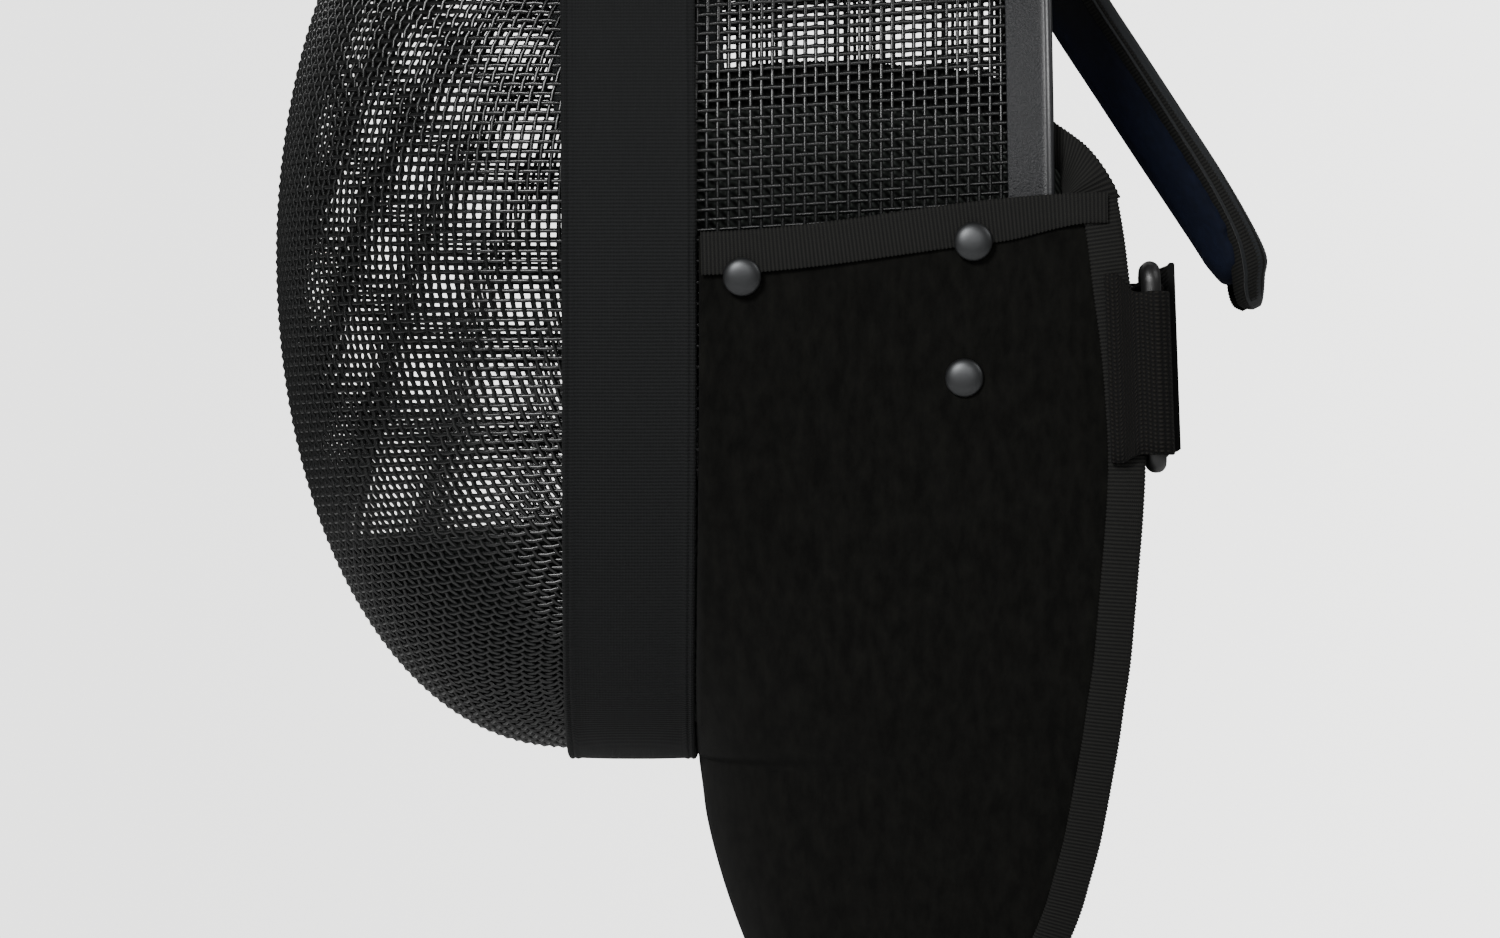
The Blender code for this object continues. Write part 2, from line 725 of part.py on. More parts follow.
def tongue_stations():
    """Return point, forward and outward directions and sizes along the tongue."""
    line = np.array([(row[0], row[1]) for row in TONGUE_LINE])
    stations = []
    for number, row in enumerate(TONGUE_LINE):
        before = line[max(0, number - 1)]
        after = line[min(len(line) - 1, number + 1)]
        ahead = (after - before) / np.linalg.norm(after - before)
        outward = np.array((-ahead[1], ahead[0]))
        if outward[0] < 0.0:
            outward = -outward
        stations.append((line[number], ahead, outward, row))
    return stations


TONGUE_FRAMES = tongue_stations()
PAD_OUTLINE = (
    (1.0, 0.0), (1.03, -0.3), (0.98, -0.62), (0.80, -0.88), (0.45, -1.0), (0.0, -1.03),
    (-0.45, -1.0), (-0.80, -0.88), (-0.98, -0.62), (-1.03, -0.3), (-1.0, 0.0),
)
BACK_OUTLINE = (
    (-0.94, 0.0), (-1.04, 0.22), (-1.05, 0.55), (-0.97, 0.85), (-0.75, 0.98), (0.0, 1.03),
    (0.75, 0.98), (0.97, 0.85), (1.05, 0.55), (1.04, 0.22), (0.94, 0.0),
)
cushion_rings = []
back_rings = []
for middle, ahead, outward, row in TONGUE_FRAMES:
    cushion, back, width = row[2], row[3], row[4] * TONGUE_HALF_WIDTH
    total = cushion + back
    join = middle + outward * (total / 2 - back)
    ring = []
    for across, deep in PAD_OUTLINE:
        spot = join + outward * (deep * (cushion - GAP) - GAP)
        ring.append((across * width, spot[0], spot[1]))
    cushion_rings.append(ring)
    ring = []
    for across, deep in BACK_OUTLINE:
        spot = join + outward * deep * back
        ring.append((across * width, spot[0], spot[1]))
    back_rings.append(ring)


# Ends of the tongue: step ahead, step outward, share of the size before
CUSHION_END = ((2.6, 0.0, 0.72), (1.2, 0.0, 0.45))
BACK_END = ((5.0, -2.6, 0.90), (3.8, -1.6, 0.84), (2.6, -0.6, 0.66), (1.0, 0.0, 0.5))


def round_end(rings, steps):
    """Add rings that move on past the last one and draw in towards its middle."""
    _, ahead, outward, _ = TONGUE_FRAMES[-1]
    for step, side_step, shrink in steps:
        ring = np.asarray(rings[-1], float)
        middle = ring.mean(axis=0)
        move = ahead * step + outward * side_step
        rings.append(middle + (ring - middle) * shrink + np.array((0.0, move[0], move[1])))


round_end(cushion_rings, CUSHION_END)
round_end(back_rings, BACK_END)
make_loft("tongue_pad", cushion_rings, VELVET, crease=60.0)
make_loft("tongue_back", back_rings, TONGUE_CLOTH, crease=60.0)

# Rivets: domed heads that sit on the bib or on its tape
for rivet_name, rivet_y, rivet_z, lift in RIVETS:
    wall_x = bib_wall_x(rivet_y, rivet_z)
    slope_y = (bib_wall_x(rivet_y + 6.0, rivet_z) - bib_wall_x(rivet_y - 6.0, rivet_z)) / 12.0
    slope_z = (bib_wall_x(rivet_y, rivet_z + 8.0) - bib_wall_x(rivet_y, rivet_z - 8.0)) / 16.0
    out = np.array((1.0, -slope_y, -slope_z))
    out /= np.linalg.norm(out)
    side_way = np.cross(out, (0.0, 0.0, 1.0))
    side_way /= np.linalg.norm(side_way)
    up_way = np.cross(side_way, out)
    base = np.array((wall_x, rivet_y, rivet_z)) + out * (BIB_THICK / 2 + lift + GAP)
    rings = []
    for radius, height in ((0.92, 0.0), (1.0, 0.25), (0.86, 0.66), (0.52, 0.93), (0.16, 1.0)):
        ring = []
        for angle in np.linspace(0.0, 2.0 * math.pi, 14, endpoint=False):
            flat = side_way * math.cos(angle) + up_way * math.sin(angle)
            ring.append(base + flat * RIVET_RADIUS * radius + out * RIVET_DOME * height)
        rings.append(ring)
    make_loft(rivet_name + "_left", rings, RIVET_METAL, crease=60.0)
    make_loft(rivet_name + "_right", [mirror(ring) for ring in rings], RIVET_METAL, crease=60.0)


def ring_y(z):
    """Return the Y of the ring's leaning plane at a height."""
    share = (z - RING_TOP_Z) / (RING_BOTTOM_Z - RING_TOP_Z)
    return RING_TOP_Y + (RING_BOTTOM_Y - RING_TOP_Y) * share


def make_ring(name, side):
    """Build a rectangular plastic ring of round bar with rounded corners."""
    centre_x = (RING_X + RING_INNER_X) / 2
    centre_z = (RING_TOP_Z + RING_BOTTOM_Z) / 2
    half_x = (RING_X - RING_INNER_X) / 2
    half_z = (RING_TOP_Z - RING_BOTTOM_Z) / 2 - RING_BAR
    corner = 3.4
    path = []
    for quarter in range(4):
        sign_x = 1.0 if quarter in (0, 3) else -1.0
        sign_z = 1.0 if quarter in (0, 1) else -1.0
        for step in range(4):
            angle = math.radians(90.0 * quarter + 30.0 * step)
            path.append((
                sign_x * (half_x - corner) + corner * math.cos(angle),
                sign_z * (half_z - corner) + corner * math.sin(angle),
            ))
    path = np.array(path)
    rings = []
    for number in range(len(path)):
        before = path[number - 1]
        after = path[(number + 1) % len(path)]
        ahead = (after - before) / np.linalg.norm(after - before)
        outward = np.array((ahead[1], -ahead[0]))
        loop = []
        for angle in np.linspace(0.0, 2.0 * math.pi, 8, endpoint=False):
            flat = path[number] + outward * RING_BAR * math.cos(angle)
            z = centre_z + flat[1]
            loop.append((side * (centre_x + flat[0]), ring_y(z) + RING_BAR * math.sin(angle), z))
        rings.append(loop)
    make_loft(name, rings, PLASTIC, closed=True, crease=60.0)


make_ring("ring_left", 1.0)
make_ring("ring_right", -1.0)


def make_ribbon(name, path, thick, heights, material, crease=50.0):
    """Sweep a strip of webbing along a path in plan; heights are its top and bottom Z."""
    path = np.asarray(path, float)
    rings = []
    for number in range(len(path)):
        before = path[max(0, number - 1)]
        after = path[min(len(path) - 1, number + 1)]
        ahead = (after - before) / np.linalg.norm(after - before)
        side_way = np.array((-ahead[1], ahead[0])) * thick / 2
        top, bottom = heights[number]
        ring = []
        for sign, z in ((1.0, top), (1.0, bottom), (-1.0, bottom), (-1.0, top)):
            spot = path[number] + side_way * sign
            ring.append((spot[0], spot[1] + ring_y(z) - ring_y(-166.7), z))
        rings.append(ring)
    make_loft(name, rings, material, crease=crease)


def arc(centre, radius, start, end, count):
    """Return points of an arc in plan, angles in degrees."""
    angles = np.radians(np.linspace(start, end, count))
    return [(centre[0] + radius * math.cos(a), centre[1] + radius * math.sin(a)) for a in angles]


# Webbing tabs: on the outside of the bib, round the ring's outer bar and back inside
bar_y = ring_y(-166.7)
wrap = RING_BAR + GAP + WEB_THICK / 2
out_x = 100.5 + BIB_THICK / 2 + GAP + TAPE_THICK + GAP + WEB_THICK / 2
tab_path = [(out_x + 0.4, 137.4), (out_x + 0.3, 141.0), (out_x + 0.2, 145.0)]
tab_path += arc((RING_X, bar_y), wrap, 0.0, 180.0, 9)
tab_path += [(95.8, 146.6), (95.4, 142.6)]
tab_heights = [(-140.0, -193.4)] * 2 + [(-143.8, -189.8)] * (len(tab_path) - 2)
make_ribbon("ring_tab_left", tab_path, WEB_THICK, tab_heights, WEBBING)
make_ribbon("ring_tab_right", [(-x, y) for x, y in tab_path], WEB_THICK, tab_heights, WEBBING)

# Rear strap: from ring to ring behind the head, its ends folded back twice
turn_round = RING_BAR + GAP + STRAP_THICK / 2
half_strap = [(0.0, 147.0), (30.0, 146.8), (58.0, 146.2), (72.0, bar_y - turn_round - 0.1)]
half_strap += arc((RING_INNER_X, bar_y), turn_round, -90.0, 90.0, 9)
half_strap += [(72.0, 153.9), (60.0, 152.6), (48.0, 151.2), (38.0, 150.3)]
half_strap += arc((36.0, 151.55), 1.2, -95.0, -265.0, 7)
half_strap += [(40.0, 152.8), (50.0, 153.8), (62.0, 155.2), (74.0, 156.7), (84.0, 157.0)]
half_heights = [(-141.5, -193.0), (-141.5, -193.0), (-143.0, -191.4), (-143.8, -189.8)]
half_heights += [(-143.8, -189.8)] * 9
half_heights += [(-142.5, -192.0), (-140.0, -193.0), (-139.0, -193.4), (-139.0, -193.0)]
half_heights += [(-139.0, -193.0)] * 7
half_heights += [(-138.6, -192.6), (-138.2, -192.0), (-137.8, -191.2)]
half_heights += [(-137.4, -190.4), (-137.0, -190.0)]
strap_path = [(-x, y) for x, y in half_strap[:0:-1]] + half_strap
strap_heights = half_heights[:0:-1] + half_heights
make_ribbon("rear_strap", strap_path, STRAP_THICK, strap_heights, WEBBING)
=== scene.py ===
# %% [markdown]
# # A fencing mask, seen from its left side
#
# The mask has a domed face of woven wire, a ribbed elastic band over its seam, a dark
# cloth bib, a painted steel arch at the back, and a padded tongue that holds it on the
# head. Each cell below makes one piece or one finish. Lengths are in millimetres and
# turn into metres only when a mesh is written. The face looks along -Y, the wearer's
# left is +X, and the head pad rests on the head at the origin.

# %% Load the frame
import math

import bmesh
import bpy
import numpy as np
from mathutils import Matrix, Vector
from mathutils.bvhtree import BVHTree


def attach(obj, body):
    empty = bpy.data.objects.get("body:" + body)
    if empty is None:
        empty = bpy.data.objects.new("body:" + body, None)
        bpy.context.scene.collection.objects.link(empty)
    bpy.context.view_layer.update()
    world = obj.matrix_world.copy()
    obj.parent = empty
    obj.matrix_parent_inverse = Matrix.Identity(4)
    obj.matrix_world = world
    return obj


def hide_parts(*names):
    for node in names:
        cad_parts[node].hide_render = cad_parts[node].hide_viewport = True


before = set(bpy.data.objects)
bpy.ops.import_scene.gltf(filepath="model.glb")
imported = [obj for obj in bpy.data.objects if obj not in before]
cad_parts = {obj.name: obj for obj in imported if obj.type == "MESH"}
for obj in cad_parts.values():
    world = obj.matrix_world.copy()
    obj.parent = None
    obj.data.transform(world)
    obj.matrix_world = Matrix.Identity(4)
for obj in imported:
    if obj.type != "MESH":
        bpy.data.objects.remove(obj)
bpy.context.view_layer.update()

print("nodes in the frame:", len(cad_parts))

# %% [markdown]
# ## Helpers for meshes
#
# Nearly everything here is a grid of points: rows run one way over a surface, columns
# the other. One function turns such a grid into quads and writes its arc lengths as a
# UV map in millimetres. A rib, a weave or a grain can then be given its real size.

# %% Write grids as meshes
MM = 0.001


def arc_lengths(grid, axis):
    """Return how far each point lies along its row or column, in millimetres."""
    steps = np.linalg.norm(np.diff(grid, axis=axis), axis=2)
    start = np.zeros_like(np.take(steps, [0], axis=axis))
    return np.concatenate((start, np.cumsum(steps, axis=axis)), axis=axis)


def finish_mesh(name, points, faces, finish, corner_uv=None, crease=35.0, closed=True):
    """Make an object from points in millimetres; corner_uv holds one pair for each face corner."""
    mesh = bpy.data.meshes.new(name)
    mesh.from_pydata((np.asarray(points, float) * MM).tolist(), [], faces)
    if corner_uv is not None:
        layer = mesh.uv_layers.new(name="millimetres")
        layer.data.foreach_set("uv", np.asarray(corner_uv, np.float32).ravel())
    if closed:
        shaper = bmesh.new()
        shaper.from_mesh(mesh)
        bmesh.ops.recalc_face_normals(shaper, faces=shaper.faces)
        shaper.to_mesh(mesh)
        shaper.free()
    mesh.shade_smooth()
    if crease < 180.0:
        mesh.set_sharp_from_angle(angle=math.radians(crease))
    mesh.materials.append(finish)
    piece = bpy.data.objects.new(name, mesh)
    bpy.context.scene.collection.objects.link(piece)
    return piece


def grid_corners(rows, columns, close_rows, close_columns):
    """Return the row and column numbers of every quad's corners, past the end where it closes."""
    row, column = np.meshgrid(
        np.arange(rows if close_rows else rows - 1),
        np.arange(columns if close_columns else columns - 1),
        indexing="ij",
    )
    row_corners = np.stack((row, row, row + 1, row + 1), axis=-1).reshape(-1, 4)
    column_corners = np.stack((column, column + 1, column + 1, column), axis=-1).reshape(-1, 4)
    return row_corners, column_corners


def write_grid(name, grid, finish, close_rows=False, close_columns=False, caps=False,
               crease=35.0, turn_out=None, even=None, lengths=None):
    """Join a grid of points into one piece. caps closes both ends of a loft, and turn_out is
    a point that open sheets face away from. The U of all columns is the length of column
    even, or the given lengths."""
    grid = np.asarray(grid, float)
    rows, columns = grid.shape[:2]
    row, column = grid_corners(rows, columns, close_rows, close_columns)
    wrapped = grid
    if close_rows:
        wrapped = np.concatenate((wrapped, wrapped[:1]), axis=0)
    if close_columns:
        wrapped = np.concatenate((wrapped, wrapped[:, :1]), axis=1)
    along = arc_lengths(wrapped, 0)
    across = arc_lengths(wrapped, 1)
    if even is not None:
        along = np.repeat(along[:, even:even + 1], along.shape[1], axis=1)
    if lengths is not None:
        along = np.repeat(np.asarray(lengths, float)[:, None], along.shape[1], axis=1)
    faces = (row % rows * columns + column % columns).tolist()
    pairs = np.stack((along[row, column], across[row, column]), axis=-1).reshape(-1, 2)
    if turn_out is not None:
        normal = np.cross(np.gradient(grid, axis=0), np.gradient(grid, axis=1))
        if np.sum(normal * (grid - np.asarray(turn_out, float))) > 0.0:
            faces = [face[::-1] for face in faces]
            pairs = pairs.reshape(-1, 4, 2)[:, ::-1].reshape(-1, 2)
    if caps:
        faces += [list(range(columns))[::-1], list(range((rows - 1) * columns, rows * columns))]
        pairs = np.concatenate((pairs, np.zeros((2 * columns, 2))))
    closed = caps or (close_rows and close_columns)
    return finish_mesh(name, grid.reshape(-1, 3), faces, finish, pairs, crease, closed)


def settle(piece, *nodes, slot=None):
    """Let a piece ride on the mask and stand for its solids."""
    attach(piece, "root")
    if nodes:
        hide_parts(*nodes)
    return piece


def bake_modifiers(piece):
    """Turn a piece's modifiers into plain mesh."""
    graph = bpy.context.evaluated_depsgraph_get()
    baked = bpy.data.meshes.new_from_object(piece.evaluated_get(graph), depsgraph=graph)
    piece.modifiers.clear()
    piece.data = baked
    return piece


def count_triangles(piece):
    """Return how many triangles a finished mesh has."""
    return sum(len(face.vertices) - 2 for face in piece.data.polygons)


def smooth_step(low, high, value):
    """Return 0 below low, 1 above high and an even S-curve between; arrays work too."""
    share = np.clip((value - low) / (high - low), 0.0, 1.0)
    return share * share * (3.0 - 2.0 * share)


def mirror(points):
    """Return points on the other side of the middle plane."""
    return np.asarray(points, float) * np.array((-1.0, 1.0, 1.0))


# %% [markdown]
# ## Helpers for finishes
#
# Every finish is a Principled BSDF. Its colours are written as sRGB hex values, as a
# colour picker shows them, and turned to the linear values that the shader wants. One
# small function adds a node, sets it and links it.

# %% Start a finish and add nodes
def to_linear(code):
    """Turn a hex colour such as "1c1e20" into linear red, green, blue and alpha."""
    shares = [int(code[start:start + 2], 16) / 255.0 for start in (0, 2, 4)]
    linear = [s / 12.92 if s <= 0.04045 else ((s + 0.055) / 1.055) ** 2.4 for s in shares]
    return (*linear, 1.0)


def add_node(finish, kind, inputs=None, **settings):
    """Add a node: inputs maps each socket to a value or to the socket that feeds it."""
    tree = finish.node_tree
    node = tree.nodes.new(kind)
    for name, value in settings.items():
        setattr(node, name, value)
    for name, value in (inputs or {}).items():
        if isinstance(value, bpy.types.NodeSocket):
            tree.links.new(value, node.inputs[name])
        else:
            node.inputs[name].default_value = value
    return node


def start_finish(name, code, roughness, **values):
    """Make a finish with its plain colour and roughness and return it with its shader."""
    finish = bpy.data.materials.new(name)
    finish.use_nodes = True
    shader = finish.node_tree.nodes["Principled BSDF"]
    shader.inputs["Base Color"].default_value = to_linear(code)
    shader.inputs["Roughness"].default_value = roughness
    for socket, value in values.items():
        shader.inputs[socket.replace("_", " ")].default_value = value
    return finish, shader


def feed(finish, shader, **sockets):
    """Link sockets into the shader by their names, with _ for a space."""
    for name, socket in sockets.items():
        finish.node_tree.links.new(socket, shader.inputs[name.replace("_", " ")])


# A wave texture of scale 1 repeats every 2 pi / 20 of its coordinate
def wave_scale(pitch):
    """Return the wave texture's scale that repeats a band every pitch millimetres."""
    return math.tau / 20.0 / pitch


# %% [markdown]
# ## Camera
#
# The photograph is taken level, from the wearer's left, with the lens 1.7 m away. A
# long lens of 137 mm keeps the near and the far side of the mask almost the same size.

# %% Place the camera
camera_data = bpy.data.cameras.new("side_view")
camera_data.lens = 137.09
camera_data.sensor_width = 36.0
camera_data.sensor_fit = "HORIZONTAL"
camera_data.clip_start = 0.05
camera_data.clip_end = 50.0
camera = bpy.data.objects.new("side_view", camera_data)
camera.location = (1.6993, 0.0821, -0.1953)
camera.rotation_euler = (math.radians(90.0), 0.0, math.radians(91.6))
bpy.context.scene.collection.objects.link(camera)
bpy.context.scene.camera = camera
print("camera at", [round(value, 3) for value in camera.location])

# %% [markdown]
# ## Floor and light
#
# A pale round floor lies under the mask and pale surroundings close the view behind it.
# Black cloth and black wire show only what they reflect, so the light comes from large
# soft panels: their broad reflections draw the ribs, the wires and the rivets.

# %% Make the floor and the lights
FLOOR_Z = -402.0
ROOM_LIGHT = 0.17
ROOM_SEEN = (2.75, 3.7)  # at the left and at the right of the view
floor_finish, floor_shader = start_finish("matt_white_paper", "e6e6e5", 0.9)
floor_grain = add_node(floor_finish, "ShaderNodeTexNoise", {"Scale": 6.0, "Detail": 2.0})
floor_tone = add_node(
    floor_finish, "ShaderNodeMix",
    {"Factor": floor_grain.outputs["Fac"], "A": to_linear("e3e3e2"), "B": to_linear("e8e8e8")},
    data_type="RGBA",
)
feed(floor_finish, floor_shader, Base_Color=floor_tone.outputs["Result"])
FLOOR_RADIUS = 700.0
angles = np.linspace(0.0, math.tau, 96, endpoint=False)
rim = np.stack(
    (np.cos(angles) * FLOOR_RADIUS, 60.0 + np.sin(angles) * FLOOR_RADIUS, np.full(96, FLOOR_Z)), axis=1)
floor = finish_mesh("floor", rim, [list(range(96))], floor_finish, closed=False)

world = bpy.data.worlds.new("pale_room")
world.use_nodes = True
glow = world.node_tree.nodes["Background"]
glow.inputs["Color"].default_value = to_linear("fbfbfa")
seen = add_node(world, "ShaderNodeLightPath")
heading = add_node(world, "ShaderNodeTexCoord")
heading_parts = add_node(world, "ShaderNodeSeparateXYZ", {"Vector": heading.outputs["Generated"]})
backdrop = add_node(
    world, "ShaderNodeMapRange",
    {"Value": heading_parts.outputs["Y"], "From Min": -0.13, "From Max": 0.13,
     "To Min": ROOM_SEEN[0], "To Max": ROOM_SEEN[1]},
)
strength = add_node(
    world, "ShaderNodeMapRange",
    {"Value": seen.outputs["Is Camera Ray"], "To Min": ROOM_LIGHT, "To Max": backdrop.outputs["Result"]},
)
world.node_tree.links.new(strength.outputs["Result"], glow.inputs["Strength"])
bpy.context.scene.world = world

# Panels: name, place, point looked at, width and height in metres, power in watts
PANELS = (
    ("panel_key", (1.5, -0.55, 0.62), (0.0, 0.05, -0.15), 0.5, 0.5, 35.0),
    ("panel_side", (1.9, 0.25, 0.35), (0.0, 0.1, -0.1), 0.6, 0.5, 7.0),
    ("panel_back", (0.5, 1.5, 0.9), (0.0, 0.12, -0.1), 0.8, 0.8, 8.0),
    ("panel_far", (-1.3, -0.2, 0.8), (0.0, 0.05, -0.15), 0.9, 0.9, 8.0),
)
for name, place, target, width, height, power in PANELS:
    panel_data = bpy.data.lights.new(name, "AREA")
    panel_data.shape = "RECTANGLE"
    panel_data.size = width
    panel_data.size_y = height
    panel_data.energy = power
    panel = bpy.data.objects.new(name, panel_data)
    panel.location = place
    panel.rotation_euler = (Vector(target) - Vector(place)).to_track_quat("-Z", "Y").to_euler()
    bpy.context.scene.collection.objects.link(panel)
print("panels:", len(PANELS))

# %% [markdown]
# ## The lines that the pieces follow
#
# The seam is an egg-shaped loop in the plane of the ears, bowed back a little at the
# temples. The face is a dome over that loop and the rear wall runs from it straight back
# to the steel arch. These few functions are all the shape that the pieces need.

# %% Seam, dome and rear wall
SEAM_Z = -134.0
SEAM_HALF_WIDTH = 97.0
SEAM_CROWN = 147.0
SEAM_CHIN = 143.3
EGG = 0.10
SEAM_BOW = 3.5
BAND_WIDTH = 38.0
DOME_TIP_Y = -105.2
DOME_POWER = 2.1
FRAME_Y = 108.9
FRAME_DEPTH = 13.2
FRAME_HALF_WIDTH = 94.0
FRAME_RISE = 5.8


def seam_point(turn, grow=0.0):
    """Return X and Z of the seam loop at a turn in degrees from the crown."""
    angle = math.radians(turn)
    drop = SEAM_CROWN if math.cos(angle) >= 0.0 else SEAM_CHIN
    x = (SEAM_HALF_WIDTH + grow) * math.sin(angle) * (1.0 + EGG * math.cos(angle))
    return x, SEAM_Z + (drop + grow) * math.cos(angle)


def seam_y(turn):
    """Return the Y of the band's centre line."""
    return SEAM_BOW * math.sin(math.radians(turn)) ** 2


def seam_outward(turn):
    """Return the outward direction of the seam loop in X and Z."""
    ahead = np.array(seam_point(turn + 0.4)) - np.array(seam_point(turn - 0.4))
    outward = np.array((-ahead[1], ahead[0])) / np.linalg.norm(ahead)
    middle = np.array((0.0, SEAM_Z))
    return outward if outward @ (np.array(seam_point(turn)) - middle) > 0.0 else -outward


def frame_point(turn):
    """Return X and Z of the rear arch: an egg above, straight legs below."""
    bend = min(abs(turn), 90.0)
    angle = math.radians(bend)
    leg = abs(turn) - bend
    x = FRAME_HALF_WIDTH * math.sin(angle) * (1.0 + 0.08 * math.cos(angle)) - 0.05 * leg
    z = SEAM_Z + FRAME_RISE + SEAM_CROWN * math.cos(angle) - 2.1 * leg
    return math.copysign(x, turn), z


def wall_point(turn, y):
    """Return a point of the rear wall: from the seam loop straight back to the arch."""
    seam_x, seam_z = seam_point(turn)
    arch_x, arch_z = frame_point(turn)
    start = seam_y(turn) + BAND_WIDTH / 2 + 0.6
    share = max(0.0, (y - start) / (FRAME_Y + FRAME_DEPTH - start))
    return np.array((seam_x + (arch_x - seam_x) * share, y, seam_z + (arch_z - seam_z) * share))


def dome_place(across, up):
    """Return a point of the wire shell, given in degrees away from its foremost point."""
    reach = math.hypot(across, up)
    turn = math.degrees(math.atan2(across, up))
    seam_x, seam_z = seam_point(turn)
    rim_y = seam_y(turn) - BAND_WIDTH / 2
    if reach > 90.0:
        return np.array((seam_x, rim_y + (reach - 90.0) * 1.7, seam_z))
    lift = math.radians(90.0 - reach)
    y = rim_y + (DOME_TIP_Y - rim_y) * math.sin(lift) ** (2.0 / DOME_POWER)
    return np.array((seam_x * math.cos(lift), y, SEAM_Z + (seam_z - SEAM_Z) * math.cos(lift)))


print("seam:", round(2 * seam_point(84)[0], 1), "mm wide,", SEAM_CROWN + SEAM_CHIN, "mm high")

# %% [markdown]
# ## Wire finish
#
# The mesh is spring steel wire dipped in a black satin coating. The coating hides the
# metal, so the finish is a dielectric: nearly black, with a roughness that leaves a soft
# grey dash on the crown of every crimp. A little noise keeps the dashes from being equal.

# %% Satin coated wire
coated_wire, wire_shader = start_finish("satin_coated_spring_steel", "0b0c0c", 0.28, IOR=1.5)
wire_grain = add_node(coated_wire, "ShaderNodeTexNoise", {"Scale": 900.0, "Detail": 3.0})
wire_rough = add_node(
    coated_wire, "ShaderNodeMapRange",
    {"Value": wire_grain.outputs["Fac"], "From Min": 0.3, "From Max": 0.7, "To Min": 0.19, "To Max": 0.31},
)
wire_tone = add_node(
    coated_wire, "ShaderNodeMix",
    {"Factor": wire_grain.outputs["Fac"], "A": to_linear("080909"), "B": to_linear("101111")},
    data_type="RGBA",
)
wire_bump = add_node(
    coated_wire, "ShaderNodeBump",
    {"Height": wire_grain.outputs["Fac"], "Strength": 0.25, "Distance": 0.0001},
)
feed(coated_wire, wire_shader, Roughness=wire_rough.outputs["Result"],
     Base_Color=wire_tone.outputs["Result"], Normal=wire_bump.outputs["Normal"])

# %% [markdown]
# ## Woven wire of the face
#
# A flat woven sheet is pressed into a dome. Its wires can't stretch, so each opening
# keeps the length of its sides and changes only its angles, like a garden trellis. The
# net is grown in the same way: every new crossing lies one wire spacing from the two
# crossings before it. The picture shows this as openings that lean near the rim.

# %% Grow the net of crossings over the dome
COLUMN_PITCH = 3.06
ROW_PITCH = 2.80
NET_END = 101.0


def step_along(place, start, pitch, direction):
    """Return the next spot on a main wire, a pitch away from start, and its point."""
    low, high = 0.1, 6.0
    here = place(*start)
    for _ in range(32):
        middle = (low + high) / 2.0
        spot = (start[0] + direction[0] * middle, start[1] + direction[1] * middle)
        if np.linalg.norm(place(*spot) - here) < pitch:
            low = middle
        else:
            high = middle
    return spot


def main_wire(pitch, direction):
    """Return the spots of a wire through the foremost point, out to the rim."""
    spots = [(0.0, 0.0)]
    while math.hypot(*spots[-1]) < NET_END:
        spots.append(step_along(dome_place, spots[-1], pitch, direction))
    return spots


def find_crossing(guess, beside, below):
    """Return the spot that lies one pitch from the crossings beside and below it."""
    spot = np.array(guess, float)
    small = 0.001
    for _ in range(12):
        place = dome_place(*spot)
        off = np.array((
            np.linalg.norm(place - beside) - COLUMN_PITCH,
            np.linalg.norm(place - below) - ROW_PITCH,
        ))
        if np.abs(off).max() < 0.0002:
            return spot
        slopes = []
        for move in ((small, 0.0), (0.0, small)):
            near = dome_place(spot[0] + move[0], spot[1] + move[1])
            slopes.append((
                (np.linalg.norm(near - beside) - COLUMN_PITCH - off[0]) / small,
                (np.linalg.norm(near - below) - ROW_PITCH - off[1]) / small,
            ))
        (a, c), (b, d) = slopes
        step = np.array((d * off[0] - b * off[1], a * off[1] - c * off[0])) / (a * d - b * c)
        spot -= step * min(1.0, 1.5 / max(1e-9, np.linalg.norm(step)))
    return None


def grow_quarter(up):
    """Return crossings {(column, row): point} of one quarter; up is 1 above, -1 below."""
    spots = {(i, 0): spot for i, spot in enumerate(main_wire(COLUMN_PITCH, (1.0, 0.0)))}
    spots.update({(0, j): spot for j, spot in enumerate(main_wire(ROW_PITCH, (0.0, up)))})
    points = {key: dome_place(*spot) for key, spot in spots.items()}
    columns = max(i for i, _ in spots)
    rows = max(j for _, j in spots)
    for i in range(1, columns + 1):
        for j in range(1, rows + 1):
            if (i - 1, j) not in spots or (i, j - 1) not in spots:
                continue
            guess = np.array(spots[i - 1, j]) + spots[i, j - 1] - spots[i - 1, j - 1]
            spot = find_crossing(guess, points[i - 1, j], points[i, j - 1])
            if spot is not None and math.hypot(*spot) < NET_END:
                spots[i, j] = tuple(spot)
                points[i, j] = dome_place(*spot)
    return {(i, int(j * up)): point for (i, j), point in points.items()
            if math.hypot(*spots[i, j]) < NET_END}


half_net = {**grow_quarter(1.0), **grow_quarter(-1.0)}
net = dict(half_net)
net.update({(-i, j): mirror(point) for (i, j), point in half_net.items()})
print("crossings in the face:", len(net))

# %% [markdown]
# ## From crossings to bent wires
#
# Each wire passes over one neighbour and under the next. A wire is therefore a tube
# whose centre line is pushed out at one crossing and in at the next. Wires of the other
# direction do the opposite, so the two sets lock. All tubes of one set are joined into a
# single mesh, built straight from arrays because thousands of curves would be slow.

# %% Sweep the wires
WIRE_RADIUS = 0.65  # 1.0 mm steel and its thick coating
CRIMP = 0.47
WIRE_SIDES = 6


def point_normals(points, inside):
    """Return outward directions at the crossings of a net, given by neighbours' places."""
    normals = {}
    for (i, j), point in points.items():
        across = points.get((i + 1, j), point) - points.get((i - 1, j), point)
        up = points.get((i, j + 1), point) - points.get((i, j - 1), point)
        normal = np.cross(across, up)
        length = np.linalg.norm(normal)
        away = point - inside
        if length < 1e-6:
            normal, length = away, np.linalg.norm(away)
        normals[i, j] = normal / length * (1.0 if normal @ away > 0.0 else -1.0)
    return normals


